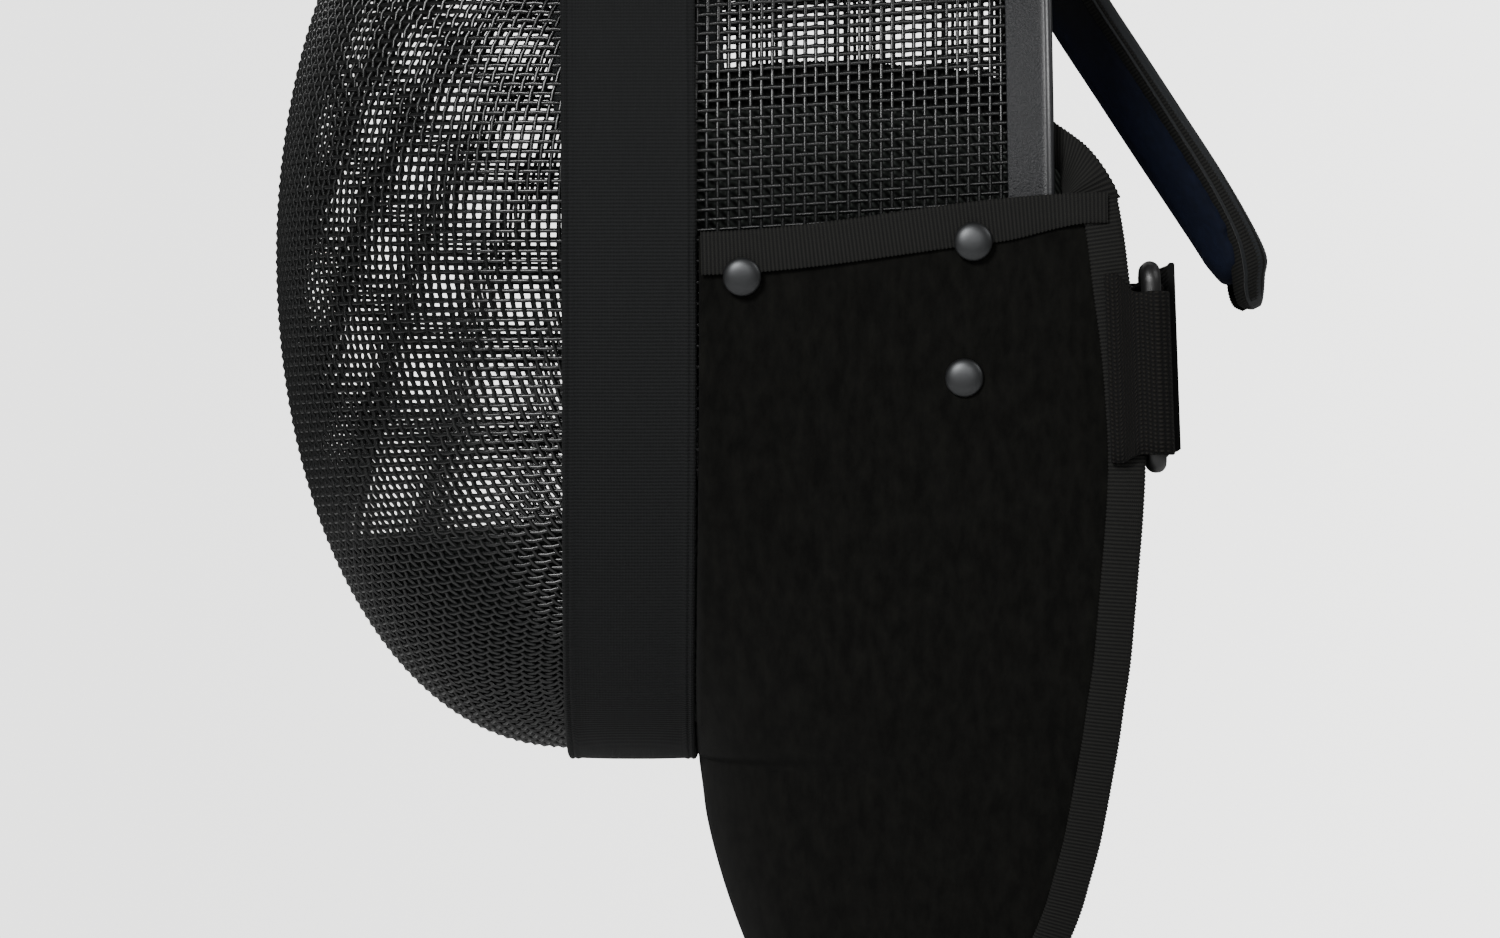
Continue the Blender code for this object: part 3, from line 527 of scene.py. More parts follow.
def runs_of(points, way):
    """Return lists of neighbouring crossings: way 0 follows a row, way 1 a column."""
    lines = {}
    for key in points:
        lines.setdefault(key[1 - way], []).append(key)
    runs = []
    for line in sorted(lines):
        keys = sorted(lines[line], key=lambda key: key[way])
        run = [keys[0]]
        for key in keys[1:]:
            if key[way] - run[-1][way] > 1:
                runs.append(run)
                run = []
            run.append(key)
        runs.append(run)
    return [run for run in runs if len(run) > 1]


def sweep_wires(name, points, normals, way, lift=0.0):
    """Join the tubes of one set of wires into one piece."""
    angles = np.linspace(0.0, math.tau, WIRE_SIDES, endpoint=False)
    all_points = []
    all_faces = []
    first = 0
    for run in runs_of(points, way):
        line = np.array([points[key] for key in run])
        normal = np.array([normals[key] for key in run])
        side = np.array([1.0 if (key[0] + key[1] + way) % 2 else -1.0 for key in run])
        centre = line + normal * (lift + side * CRIMP)[:, None]
        ahead = np.gradient(line, axis=0)
        ahead /= np.linalg.norm(ahead, axis=1, keepdims=True)
        beside = np.cross(ahead, normal)
        beside /= np.linalg.norm(beside, axis=1, keepdims=True)
        ring = (
            normal[:, None] * np.cos(angles)[None, :, None]
            + beside[:, None] * np.sin(angles)[None, :, None]
        )
        all_points.append((centre[:, None] + ring * WIRE_RADIUS).reshape(-1, 3))
        row, column = grid_corners(len(run), WIRE_SIDES, False, True)
        all_faces.append(first + row * WIRE_SIDES + column % WIRE_SIDES)
        first += len(run) * WIRE_SIDES
    faces = np.concatenate(all_faces).tolist()
    piece = finish_mesh(name, np.concatenate(all_points), faces, coated_wire, crease=180.0, closed=False)
    print(name, count_triangles(piece), "triangles")
    return piece


face_normals = point_normals(net, np.array((0.0, 0.0, SEAM_Z)))
for way, name in ((0, "face_wires_across"), (1, "face_wires_down")):
    wires = sweep_wires(name, net, face_normals, way)
    settle(wires, "front_mesh", slot="coated_steel_wire")

# %% [markdown]
# ## Woven wire of the rear wall
#
# Behind the band the mesh is only bent round the head, not pressed. Its rows run back
# along the wall and its columns run over the crown, so both spacings stay even. The rows
# rise a little towards the back because the arch stands higher than the seam.

# %% Lay the rear wires
REAR_LAST_TURN = 117.0
turn_samples = np.linspace(0.0, REAR_LAST_TURN, 600)
loop_samples = np.array([wall_point(turn, 62.0) for turn in turn_samples])
loop_lengths = np.concatenate(([0.0], np.cumsum(np.linalg.norm(np.diff(loop_samples, axis=0), axis=1))))
row_count = int(loop_lengths[-1] / ROW_PITCH)
row_turns = np.interp(np.arange(row_count + 1) * ROW_PITCH, loop_lengths, turn_samples)
rear_net = {}
for number in range(-row_count, row_count + 1):
    turn = math.copysign(row_turns[abs(number)], number)
    first_y = seam_y(turn) + 2.0
    for step in range(60):
        y = 2.0 + SEAM_BOW / 2 + step * COLUMN_PITCH
        if first_y <= y <= FRAME_Y + 8.0:
            rear_net[step, number] = wall_point(turn, y)
rear_normals = {}
for (step, number), point in rear_net.items():
    turn = math.copysign(row_turns[abs(number)], number)
    outward = seam_outward(turn)
    rear_normals[step, number] = np.array((outward[0], 0.0, outward[1]))
for way, name in ((0, "rear_wires_back"), (1, "rear_wires_over")):
    wires = sweep_wires(name, rear_net, rear_normals, way)
    settle(wires, "rear_mesh", slot="coated_steel_wire")
print("crossings in the rear wall:", len(rear_net))

# %% [markdown]
# ## Splines through short tables
#
# The sewn pieces are given by a few rings or rows of named points. A Catmull-Rom spline
# passes through every one of them and fills in the curve between, so the short table
# sets the form and the mesh can be as fine as its ribs and stitches need.

# %% Refine a grid along its rows
def refine(grid, pieces, closed=False):
    """Return a grid with each step between its rows split into smooth pieces."""
    grid = np.asarray(grid, float)
    count = len(grid)
    steps = count if closed else count - 1
    spots = np.arange(steps * pieces + (0 if closed else 1)) / pieces
    base = np.floor(spots).astype(int)
    if not closed:
        base = np.minimum(base, count - 2)
    share = (spots - base).reshape(-1, *([1] * (grid.ndim - 1)))

    def at(index):
        return grid[index % count] if closed else grid[np.clip(index, 0, count - 1)]

    before, start, end, after = (at(base + shift) for shift in (-1, 0, 1, 2))
    if not closed:
        before = np.where((base == 0).reshape(share.shape), 2 * start - end, before)
        after = np.where((base == count - 2).reshape(share.shape), 2 * end - start, after)
    return 0.5 * (
        2 * start + (end - before) * share
        + (2 * before - 5 * start + 4 * end - after) * share ** 2
        + (3 * start - before - 3 * end + after) * share ** 3
    )


def refine_columns(grid, pieces, closed=False):
    """Return a grid refined across instead of along."""
    return np.swapaxes(refine(np.swapaxes(np.asarray(grid, float), 0, 1), pieces, closed), 0, 1)


# %% [markdown]
# ## Seam band
#
# A wide elastic band covers the seam where the two meshes meet. It is woven with fine
# cross ribs and a firmer double ridge at each edge. The band is a closed loft round the
# seam loop; the edge ridges are real shape and the ribs are bump, spaced in millimetres,
# with painted shade darkening their grooves.

# %% Ribbed elastic
RIB_PITCH = 1.05  # the real ribs are 0.75 mm apart, too fine for this view
elastic, elastic_shader = start_finish(
    "woven_polyester_elastic", "101112", 0.82, Specular_IOR_Level=0.2, Sheen_Weight=0.02)
elastic_place = add_node(elastic, "ShaderNodeUVMap", uv_map="millimetres")
elastic_ribs = add_node(
    elastic, "ShaderNodeTexWave",
    {"Vector": elastic_place.outputs["UV"], "Scale": wave_scale(RIB_PITCH), "Distortion": 0.35,
     "Detail": 1.0, "Detail Scale": 0.6},
    bands_direction="X",
)
elastic_threads = add_node(
    elastic, "ShaderNodeTexWave",
    {"Vector": elastic_place.outputs["UV"], "Scale": wave_scale(0.85), "Distortion": 1.2,
     "Detail": 1.0, "Detail Scale": 1.5},
    bands_direction="Y",
)
elastic_height = add_node(
    elastic, "ShaderNodeMath",
    {0: elastic_threads.outputs["Fac"], 1: 0.35, 2: elastic_ribs.outputs["Fac"]},
    operation="MULTIPLY_ADD",
)
elastic_wear = add_node(elastic, "ShaderNodeTexNoise", {"Scale": 60.0, "Detail": 4.0})
elastic_tone = add_node(
    elastic, "ShaderNodeMix",
    {"Factor": elastic_wear.outputs["Fac"], "A": to_linear("0d0e0f"), "B": to_linear("151617")},
    data_type="RGBA",
)
# Painted shade: the rib and thread grooves are mixed towards near-black 060707 by their height.
elastic_groove_shade = add_node(
    elastic, "ShaderNodeMix",
    {"Factor": elastic_height.outputs["Value"], "A": to_linear("060707"),
     "B": elastic_tone.outputs["Result"]},
    data_type="RGBA",
)
elastic_bump = add_node(
    elastic, "ShaderNodeBump",
    {"Height": elastic_height.outputs["Value"], "Strength": 0.8, "Distance": 0.00018},
)
feed(elastic, elastic_shader, Base_Color=elastic_groove_shade.outputs["Result"],
     Normal=elastic_bump.outputs["Normal"])

# %% Loft the band
WIRE_SHEET = 2.0
GAP = 0.3
BAND_LIFT = WIRE_SHEET / 2 + GAP
# Half of the band's outline: distance from its middle line, height over its underside
BAND_HALF = (
    (18.4, 0.0), (18.9, 0.4), (19.0, 1.4), (18.9, 2.3), (18.5, 2.85), (18.0, 3.02), (17.5, 2.85),
    (17.15, 2.62), (16.8, 2.85), (16.3, 3.0), (15.8, 2.85), (15.3, 2.72), (12.0, 2.85), (6.0, 2.98),
)
band_outline = [*BAND_HALF, (0.0, 3.0), *[(-along, up) for along, up in BAND_HALF[::-1]]]
band_rings = []
for turn in np.arange(0.0, 360.0, 1.2):
    centre = np.array(seam_point(turn))
    outward = seam_outward(turn)
    ring = []
    for along, up in band_outline:
        x, z = centre + outward * (BAND_LIFT + up)
        ring.append((x, seam_y(turn) + along, z))
    band_rings.append(ring)
band = write_grid("seam_elastic", band_rings, elastic, close_rows=True, close_columns=True, even=14)
settle(band, "seam_band", slot="ribbed_elastic")

# %% [markdown]
# ## Rear frame
#
# A steel strip runs as an arch round the back edge of the mesh, with its rear edge
# rolled. It is powder coated: the paint is a dielectric skin with a fine orange-peel
# grain on the flat, and it is worn smooth on the rolled edge.

# %% Powder coated steel
powder_coat, powder_shader = start_finish("powder_coated_steel", "17181a", 0.46, IOR=1.5)
powder_place = add_node(powder_coat, "ShaderNodeUVMap", uv_map="millimetres")
powder_grain = add_node(
    powder_coat, "ShaderNodeTexNoise",
    {"Vector": powder_place.outputs["UV"], "Scale": 1.5, "Detail": 3.0, "Roughness": 0.6},
    noise_dimensions="2D",
)
powder_across = add_node(powder_coat, "ShaderNodeSeparateXYZ", {"Vector": powder_place.outputs["UV"]})
powder_flat = add_node(
    powder_coat, "ShaderNodeMapRange",
    {"Value": powder_across.outputs["Y"], "From Min": 10.6, "From Max": 12.2, "To Min": 1.0, "To Max": 0.08},
)
powder_bump = add_node(
    powder_coat, "ShaderNodeBump",
    {"Height": powder_grain.outputs["Fac"], "Strength": powder_flat.outputs["Result"], "Distance": 0.00045},
)
powder_rough = add_node(
    powder_coat, "ShaderNodeMapRange",
    {"Value": powder_flat.outputs["Result"], "To Min": 0.36, "To Max": 0.5},
)
powder_tone = add_node(
    powder_coat, "ShaderNodeMix",
    {"Factor": powder_grain.outputs["Fac"], "A": to_linear("111214"), "B": to_linear("1e1f22")},
    data_type="RGBA",
)
feed(powder_coat, powder_shader, Roughness=powder_rough.outputs["Result"],
     Base_Color=powder_tone.outputs["Result"], Normal=powder_bump.outputs["Normal"])

# %% Loft the arch
FRAME_LEAN = -0.0143
# Outline of the strip: distance back from its front edge, height over the wire
FRAME_OUTLINE = (
    (0.0, 0.3), (0.0, 1.15), (0.15, 1.5), (0.5, 1.65), (4.0, 1.72), (8.0, 1.78), (10.7, 1.82),
    (11.1, 2.0), (11.5, 2.25), (12.1, 2.38), (12.7, 2.2), (13.05, 1.75), (13.2, 1.1), (13.2, 0.4),
    (13.05, -0.3), (12.7, -0.85), (12.1, -1.1), (11.6, -0.95), (11.2, -0.5), (10.9, -0.05), (0.3, 0.0),
)
arch_rings = []
for turn in np.linspace(-REAR_LAST_TURN, REAR_LAST_TURN, 235):
    outward = np.array(frame_point(turn + 0.5)) - np.array(frame_point(turn - 0.5))
    outward = np.array((-outward[1], outward[0])) / np.linalg.norm(outward)
    if outward @ (np.array(frame_point(turn)) - np.array((0.0, SEAM_Z))) < 0.0:
        outward = -outward
    ring = []
    for along, up in FRAME_OUTLINE:
        wall = wall_point(turn, FRAME_Y + along)
        x, z = wall[[0, 2]] + outward * (BAND_LIFT + 0.15 + up)
        ring.append((x, FRAME_Y + along + FRAME_LEAN * (z + 63.7), z))
    arch_rings.append(ring)
arch = write_grid("rear_arch", arch_rings, powder_coat, close_columns=True, caps=True, even=4)
settle(arch, "rear_frame", slot="black_painted_steel")
print("arch:", count_triangles(arch), "triangles")

# %% [markdown]
# ## Bib
#
# The bib is one heavy layer of brushed cloth over both cheeks and the throat. Every row
# is a Bezier curve from the band, or from the middle line below the chin, back to the
# rear edge. The rows come from two short tables and a spline runs through them.

# %% Bib tables and rows
BIB_THICK = 2.5
# Rows beside the band: seam turn, rear edge Y, rear edge Z, rear half-width
BIB_UPPER_ROWS = (
    (88.5, 138.9, -119.2, 100.2), (92.8, 140.9, -131.0, 100.4), (98.0, 142.6, -145.0, 100.5),
    (104.0, 144.6, -160.0, 100.5), (110.5, 146.0, -176.0, 100.4), (117.5, 146.8, -192.0, 100.0),
    (125.0, 146.3, -207.0, 99.0), (133.0, 145.2, -222.0, 97.0), (141.5, 144.1, -236.0, 94.3),
    (150.5, 143.0, -249.3, 91.4), (160.0, 141.4, -261.0, 88.4), (170.0, 139.9, -272.5, 85.0),
    (180.0, 138.2, -283.0, 81.6),
)
# Rows below the chin: front Y, front Z, rear edge Y, rear edge Z, rear half-width
BIB_LOWER_ROWS = (
    (20.6, -289.0, 136.6, -292.5, 78.2), (21.8, -298.0, 134.9, -301.6, 74.8),
    (24.4, -309.0, 132.4, -311.5, 70.8), (28.0, -321.0, 129.5, -322.0, 66.2),
    (32.8, -334.0, 124.8, -333.5, 61.0), (38.6, -347.0, 117.9, -346.0, 54.4),
    (44.8, -360.0, 108.6, -359.5, 46.0), (50.8, -373.0, 97.4, -373.5, 36.0),
    (56.2, -385.0, 85.6, -385.5, 25.0), (60.6, -395.0, 76.4, -395.2, 13.5),
)


def bib_row_pulls():
    """Return start, start pull, end pull and end of every row of the bib."""
    rows = []
    lift = BAND_LIFT + BIB_THICK / 2 + 0.4
    for turn, rear_y, rear_z, rear_x in BIB_UPPER_ROWS:
        x, z = seam_point(turn, lift)
        fold = float(smooth_step(84.0, 184.0, turn))
        front_y = seam_y(turn) + BAND_WIDTH / 2 + 0.6 + 1.1 * fold
        start = np.array((max(x, 0.0) if turn < 180.0 else 0.0, front_y, z))
        end = np.array((rear_x, rear_y, rear_z))
        reach = np.linalg.norm(end - start)
        heading = math.radians(90.0 * fold ** 1.35)
        leave = np.array((math.sin(heading), math.cos(heading), 0.02 * (1.0 - fold)))
        arrive = np.array((-0.07, 1.0, 0.0))
        pull = reach * (0.36 + 0.15 * fold * fold)
        rows.append((start, start + leave * pull, end - arrive * reach * 0.37, end))
    for front_y, front_z, rear_y, rear_z, rear_x in BIB_LOWER_ROWS:
        start = np.array((0.0, front_y + BIB_THICK / 2, front_z))
        end = np.array((rear_x, rear_y, rear_z))
        across = np.array((rear_x * 0.92, 0.0, 0.0))
        arrive = np.array((-0.07, 1.0, 0.0)) * (rear_y - front_y) * 0.45
        rows.append((start, start + across, end - arrive, end))
    return np.array(rows)


def bezier(row, share):
    """Return a point of a row, share 0 in front and 1 at the rear edge."""
    start, start_pull, end_pull, end = row
    rest = 1.0 - share
    return (rest ** 3 * start + 3.0 * rest * rest * share * start_pull
            + 3.0 * rest * share * share * end_pull + share ** 3 * end)


BIB_ROWS = bib_row_pulls()
print("bib rows:", len(BIB_ROWS))

# %% Brushed microfibre
suede, suede_shader = start_finish(
    "brushed_microfibre_suede", "0b0b0a", 0.95, Specular_IOR_Level=0.06, Sheen_Weight=0.012,
    Sheen_Roughness=0.6)
suede_nap = add_node(suede, "ShaderNodeTexNoise", {"Scale": 38.0, "Detail": 6.0, "Roughness": 0.62})
suede_hair = add_node(suede, "ShaderNodeTexNoise", {"Scale": 1400.0, "Detail": 2.0})
suede_share = add_node(
    suede, "ShaderNodeMapRange",
    {"Value": suede_nap.outputs["Fac"], "From Min": 0.35, "From Max": 0.7},
)
suede_tone = add_node(
    suede, "ShaderNodeMix",
    {"Factor": suede_share.outputs["Result"], "A": to_linear("080807"), "B": to_linear("11110f")},
    data_type="RGBA",
)
suede_bump = add_node(
    suede, "ShaderNodeBump",
    {"Height": suede_hair.outputs["Fac"], "Strength": 0.5, "Distance": 0.0002},
)
feed(suede, suede_shader, Base_Color=suede_tone.outputs["Result"], Normal=suede_bump.outputs["Normal"])

# %% Sew the bib
BIB_ROW_PIECES = 6
BIB_STEPS = 48
fine_rows = refine(BIB_ROWS, BIB_ROW_PIECES)
fine_rows[:, :2, 0] = np.maximum(fine_rows[:, :2, 0], 0.0)
fine_rows[12 * BIB_ROW_PIECES:, 0, 0] = 0.0
bib_half = np.array([[bezier(row, step / BIB_STEPS) for step in range(BIB_STEPS + 1)] for row in fine_rows])


def make_bib(half):
    """Join the two halves along the middle line and give the cloth its thickness."""
    rows, columns = half.shape[:2]
    row, column = grid_corners(rows, columns, False, False)
    faces = row * columns + column
    along = arc_lengths(half, 0)
    across = arc_lengths(half, 1)
    uv = np.stack((across[row, column], along[row, column]), axis=-1)
    points = np.concatenate((half.reshape(-1, 3), mirror(half.reshape(-1, 3))))
    both = np.concatenate((faces, faces[:, ::-1] + rows * columns))
    pairs = np.concatenate((uv, uv[:, ::-1]))
    piece = finish_mesh("bib_cloth", points, both.tolist(), suede, pairs.reshape(-1, 2), 180.0, False)
    shaper = bmesh.new()
    shaper.from_mesh(piece.data)
    bmesh.ops.remove_doubles(shaper, verts=shaper.verts, dist=0.00003)
    bmesh.ops.recalc_face_normals(shaper, faces=shaper.faces)
    if max(shaper.faces, key=lambda face: face.calc_center_median().x).normal.x < 0.0:
        bmesh.ops.reverse_faces(shaper, faces=shaper.faces)
    shaper.to_mesh(piece.data)
    shaper.free()
    thicken = piece.modifiers.new("thickness", "SOLIDIFY")
    thicken.thickness = BIB_THICK * MM
    thicken.offset = 0.0
    thicken.use_even_offset = True
    return bake_modifiers(piece)


bib = make_bib(bib_half)
settle(bib, "bib", slot="brushed_microfibre")
print("bib:", count_triangles(bib), "triangles")

# %% [markdown]
# ## Ribbed tape
#
# All cut edges are bound with grosgrain: a narrow tape with strong ribs across it, about
# a millimetre apart. In this view each rib is three pixels wide, so the ribs are real
# shape, and a wave of the same pitch darkens the grooves where no light reaches.

# %% Grosgrain finish
TAPE_RIB = 1.1
grosgrain, grosgrain_shader = start_finish(
    "woven_polyester_grosgrain", "121211", 0.8, Specular_IOR_Level=0.2, Sheen_Weight=0.01)
grosgrain_place = add_node(grosgrain, "ShaderNodeUVMap", uv_map="millimetres")
grosgrain_threads = add_node(
    grosgrain, "ShaderNodeTexWave",
    {"Vector": grosgrain_place.outputs["UV"], "Scale": wave_scale(0.6), "Distortion": 1.0, "Detail": 1.0},
    bands_direction="Y",
)
grosgrain_wear = add_node(grosgrain, "ShaderNodeTexNoise", {"Scale": 240.0, "Detail": 3.0})
grosgrain_crest = add_node(
    grosgrain, "ShaderNodeMix",
    {"Factor": grosgrain_wear.outputs["Fac"], "A": to_linear("0f0f0e"), "B": to_linear("1e1e1b")},
    data_type="RGBA",
)
grosgrain_ribs = add_node(
    grosgrain, "ShaderNodeTexWave",
    {"Vector": grosgrain_place.outputs["UV"], "Scale": wave_scale(TAPE_RIB)}, bands_direction="X")
grosgrain_tone = add_node(
    grosgrain, "ShaderNodeMix",
    {"Factor": grosgrain_ribs.outputs["Fac"], "A": grosgrain_crest.outputs["Result"],
     "B": to_linear("020202")},
    data_type="RGBA",
)
grosgrain_bump = add_node(
    grosgrain, "ShaderNodeBump",
    {"Height": grosgrain_threads.outputs["Fac"], "Strength": 0.5, "Distance": 0.0001},
)
feed(grosgrain, grosgrain_shader, Base_Color=grosgrain_tone.outputs["Result"],
     Normal=grosgrain_bump.outputs["Normal"])

# %% Rib a loft of rings
TAPE_THICK = 1.0
RIB_DEPTH = 0.32


def rib_tape(name, rings, finish=grosgrain, rib=TAPE_RIB, depth=RIB_DEPTH):
    """Resample rings along their length at a quarter of the rib pitch and press ribs in."""
    rings = np.asarray(rings, float)
    dense = refine(rings, 12)
    middle = dense.mean(axis=1)
    length = np.concatenate(([0.0], np.cumsum(np.linalg.norm(np.diff(middle, axis=0), axis=1))))
    count = int(length[-1] / rib * 4)
    spots = np.linspace(0.0, length[-1], count + 1)
    ribbed = np.empty((count + 1, *dense.shape[1:]))
    for corner in range(dense.shape[1]):
        for axis in range(3):
            ribbed[:, corner, axis] = np.interp(spots, length, dense[:, corner, axis])
    middle = ribbed.mean(axis=1, keepdims=True)
    inward = middle - ribbed
    inward /= np.maximum(np.linalg.norm(inward, axis=2, keepdims=True), 1e-9)
    wave = (0.5 - 0.5 * np.cos(spots / rib * math.tau))[:, None, None]
    ribbed = ribbed + inward * wave * depth
    piece = write_grid(
        name, ribbed, finish, close_columns=True, caps=True, crease=75.0, lengths=spots / rib * TAPE_RIB)
    print(name, round(length[-1]), "mm of tape,", count_triangles(piece), "triangles")
    return piece


# %% Bind the bib's upper edges
TOP_TAPE = 12.4
top_rings = []
half = BIB_THICK / 2
for step in range(27):
    share = 0.004 + 0.982 * step / 26
    climb = float(smooth_step(0.86, 0.93, share))
    near = half + GAP + (TAPE_THICK + 0.15) * climb
    far = near + TAPE_THICK
    low = -TOP_TAPE + 1.3 + 3.6 * float(smooth_step(0.72, 0.96, share))
    top_outline = (
        (near, low), (far - 0.1, low), (far, low + 0.3), (far, -5.0),
        (far, 0.0), (far, GAP + 0.4), (far - 0.5, GAP + TAPE_THICK), (-half + 0.3, GAP + TAPE_THICK),
        (-half, GAP + 0.6), (-half, GAP), (near, GAP), (near, -5.0),
    )
    edge = bezier(BIB_ROWS[0], share)
    ahead = bezier(BIB_ROWS[0], min(1.0, share + 0.01)) - bezier(BIB_ROWS[0], max(0.0, share - 0.01))
    ahead /= np.linalg.norm(ahead)
    out = np.array((ahead[1], -ahead[0], 0.0)) / math.hypot(ahead[0], ahead[1])
    up = np.cross(out, ahead)
    up *= math.copysign(1.0, up[2])
    top_rings.append([edge + out * across + up * along for across, along in top_outline])
settle(rib_tape("cheek_tape_left", top_rings), "bib_top_binding_left", slot="ribbed_tape")
settle(rib_tape("cheek_tape_right", [mirror(ring) for ring in top_rings]),
       "bib_top_binding_right", slot="ribbed_tape")

# %% Bind the rear and lower edge
EDGE_TAPE = 9.5


def edge_stations():
    """Return point, inward and along directions down the bib's rear edge to its tip."""
    ends = [row[3] for row in BIB_ROWS]
    last = BIB_ROWS[-1]
    stations = []
    for number, end in enumerate(ends):
        along = ends[min(number + 1, len(ends) - 1)] - ends[max(number - 1, 0)]
        stations.append((end, bezier(BIB_ROWS[number], 0.93) - end, along))
    for share in (0.75, 0.5, 0.25):
        point = bezier(last, share)
        above = bezier(BIB_ROWS[-2], share) - point
        stations.append((point, above, bezier(last, share - 0.05) - bezier(last, share + 0.05)))
    above = (BIB_ROWS[-2][0] - last[0]) * np.array((0.0, 1.0, 1.0))
    stations.append((last[0], above, np.array((-1.0, 0.0, 0.0))))
    return stations


edge_half = []
last_out = np.array((1.0, 0.0, 0.0))
for point, inward, along in edge_stations():
    along = along / np.linalg.norm(along)
    inward = inward - along * (inward @ along)
    inward /= np.linalg.norm(inward)
    out = np.cross(along, inward)
    out *= 1.0 if out @ last_out >= 0.0 else -1.0
    last_out = out
    tip = float(smooth_step(365.0, 390.0, -point[2]))
    near = BIB_THICK / 2 + GAP + 0.6 * tip
    far = near + TAPE_THICK
    reach = EDGE_TAPE - 3.0 * tip
    edge_outline = (
        (near, reach), (far - 0.2, reach), (far, reach - 0.5), (far, 4.0), (far, 0.6), (far - 0.25, -0.7),
        (far - 0.8, -GAP - TAPE_THICK), (0.8 - far, -GAP - TAPE_THICK), (0.25 - far, -0.7), (-far, 0.6),
        (-far, reach - 4.5), (-near, reach - 4.5), (-near, -GAP), (near, -GAP), (near, 4.0),
    )
    edge_half.append([point + out * across + inward * deep for across, deep in edge_outline])
edge_rings = edge_half + [mirror(ring) for ring in edge_half[:-1][::-1]]
settle(rib_tape("edge_tape", edge_rings), "bib_edge_binding", slot="ribbed_tape")

# %% [markdown]
# ## Inner lining
#
# A soft knitted lining hangs inside the wire, from the middle of the cheeks down under
# the chin. It shows through the lower mesh as a darker field with slanting ribs, and its
# bound upper edge crosses the window behind the mesh.

# %% Knitted lining finish
knit, knit_shader = start_finish(
    "slanting_rib_knit", "222523", 0.85, Specular_IOR_Level=0.3, Sheen_Weight=0.05)
knit_place = add_node(knit, "ShaderNodeUVMap", uv_map="millimetres")
knit_turn = add_node(
    knit, "ShaderNodeMapping", {"Vector": knit_place.outputs["UV"], "Rotation": (0.0, 0.0, 0.75)})
knit_ribs = add_node(
    knit, "ShaderNodeTexWave",
    {"Vector": knit_turn.outputs["Vector"], "Scale": wave_scale(2.2), "Distortion": 0.8, "Detail": 2.0},
    bands_direction="X",
)
# Painted shade and highlight: the tone follows the rib wave, near-black in the grooves and light grey-green
# on the crests.
knit_rib_light_and_shade = add_node(
    knit, "ShaderNodeMix",
    {"Factor": knit_ribs.outputs["Fac"], "A": to_linear("0e100f"), "B": to_linear("3d423e")},
    data_type="RGBA",
)
knit_bump = add_node(
    knit, "ShaderNodeBump",
    {"Height": knit_ribs.outputs["Fac"], "Strength": 0.7, "Distance": 0.0004},
)
feed(knit, knit_shader, Base_Color=knit_rib_light_and_shade.outputs["Result"], Normal=knit_bump.outputs["Normal"])

# %% Hang the lining
LINING_DEPTH = 4.6
LINING_THICK = 2.0
LINING_TAPE = 10.0
# Upper edge of the lining: Y, Z
LINING_TOP = (
    (3.0, -92.0), (23.2, -84.5), (40.0, -81.8), (59.7, -80.9), (82.0, -82.5),
    (104.7, -85.9), (114.0, -92.0), (122.9, -100.1), (128.8, -105.7), (134.5, -111.6),
)
# Columns of the lining: turn round the seam, rear end Y
LINING_COLUMNS = (
    (84.0, 133.4), (90.0, 134.4), (97.0, 136.6), (104.0, 138.6), (112.0, 140.2), (121.0, 131.0),
    (131.0, 122.0), (142.0, 96.0), (154.0, 54.0), (167.0, 17.0), (180.0, 17.0),
)


def lining_top_turn(y):
    """Return the turn where the lining's upper edge lies at a given Y."""
    z = float(np.interp(y, [p[0] for p in LINING_TOP], [p[1] for p in LINING_TOP]))
    low, high = 60.0, 112.0
    for _ in range(30):
        middle = (low + high) / 2
        if wall_point(middle, y)[2] > z:
            low = middle
        else:
            high = middle
    return low


def inward_of(point):
    """Return the direction from a wall point towards the middle of the head space."""
    away = np.array((point[0] / SEAM_HALF_WIDTH ** 2, 0.0, (point[2] - SEAM_Z) / SEAM_CROWN ** 2))
    if point[2] < SEAM_Z:
        away[2] *= 1.0 - float(smooth_step(20.0, 110.0, point[1]))
    return -away / np.linalg.norm(away)


def dome_lining_point(turn, lift):
    """Return a lining point inside the dome at an angle forward of the rim."""
    def place(t, l):
        reach = 90.0 - l
        return dome_place(reach * math.sin(math.radians(t)), reach * math.cos(math.radians(t)))

    point = place(turn, lift)
    ahead = place(turn, lift + 1.0) - place(turn, max(0.0, lift - 1.0))
    normal = np.cross(ahead, place(turn + 1.0, lift) - place(turn - 1.0, lift))
    normal /= np.linalg.norm(normal)
    normal *= 1.0 if normal @ (np.array((0.0, -10.0, SEAM_Z)) - point) > 0.0 else -1.0
    return point + normal * LINING_DEPTH


def lining_column(turn, rear):
    """Return one column of the lining, from its front edge to its rear edge."""
    drop = SEAM_Z - seam_point(turn)[1]
    reach_down = 83.0
    cut = math.degrees(math.acos(reach_down / drop)) if drop > reach_down else 0.0
    column = []
    for step in range(4):
        if cut > 0.0:
            column.append(dome_lining_point(turn, cut * (1.0 - step / 4.0)))
        else:
            point = wall_point(turn, seam_y(turn) - 12.0 + step * 3.0)
            column.append(point + inward_of(point) * LINING_DEPTH)
    start = seam_y(turn) + (1.0 - BAND_WIDTH / 2 if cut > 0.0 else 1.0)
    bend = FRAME_Y + FRAME_DEPTH + 2.6
    stations = np.linspace(start, rear, 9)
    if rear > bend:
        stations = [*np.linspace(start, bend, 7), (bend + rear) / 2, rear]
    for y in stations:
        shown, depth = turn, LINING_DEPTH
        if turn < 120.0:
            top = lining_top_turn(y)
            shown = top + (121.0 - top) * (turn - 84.0) / 37.0
            depth -= 6.6 * float(smooth_step(FRAME_Y + 17.5, FRAME_Y + 26.0, y))
        point = wall_point(shown, y)
        column.append(point + inward_of(point) * depth)
    return column


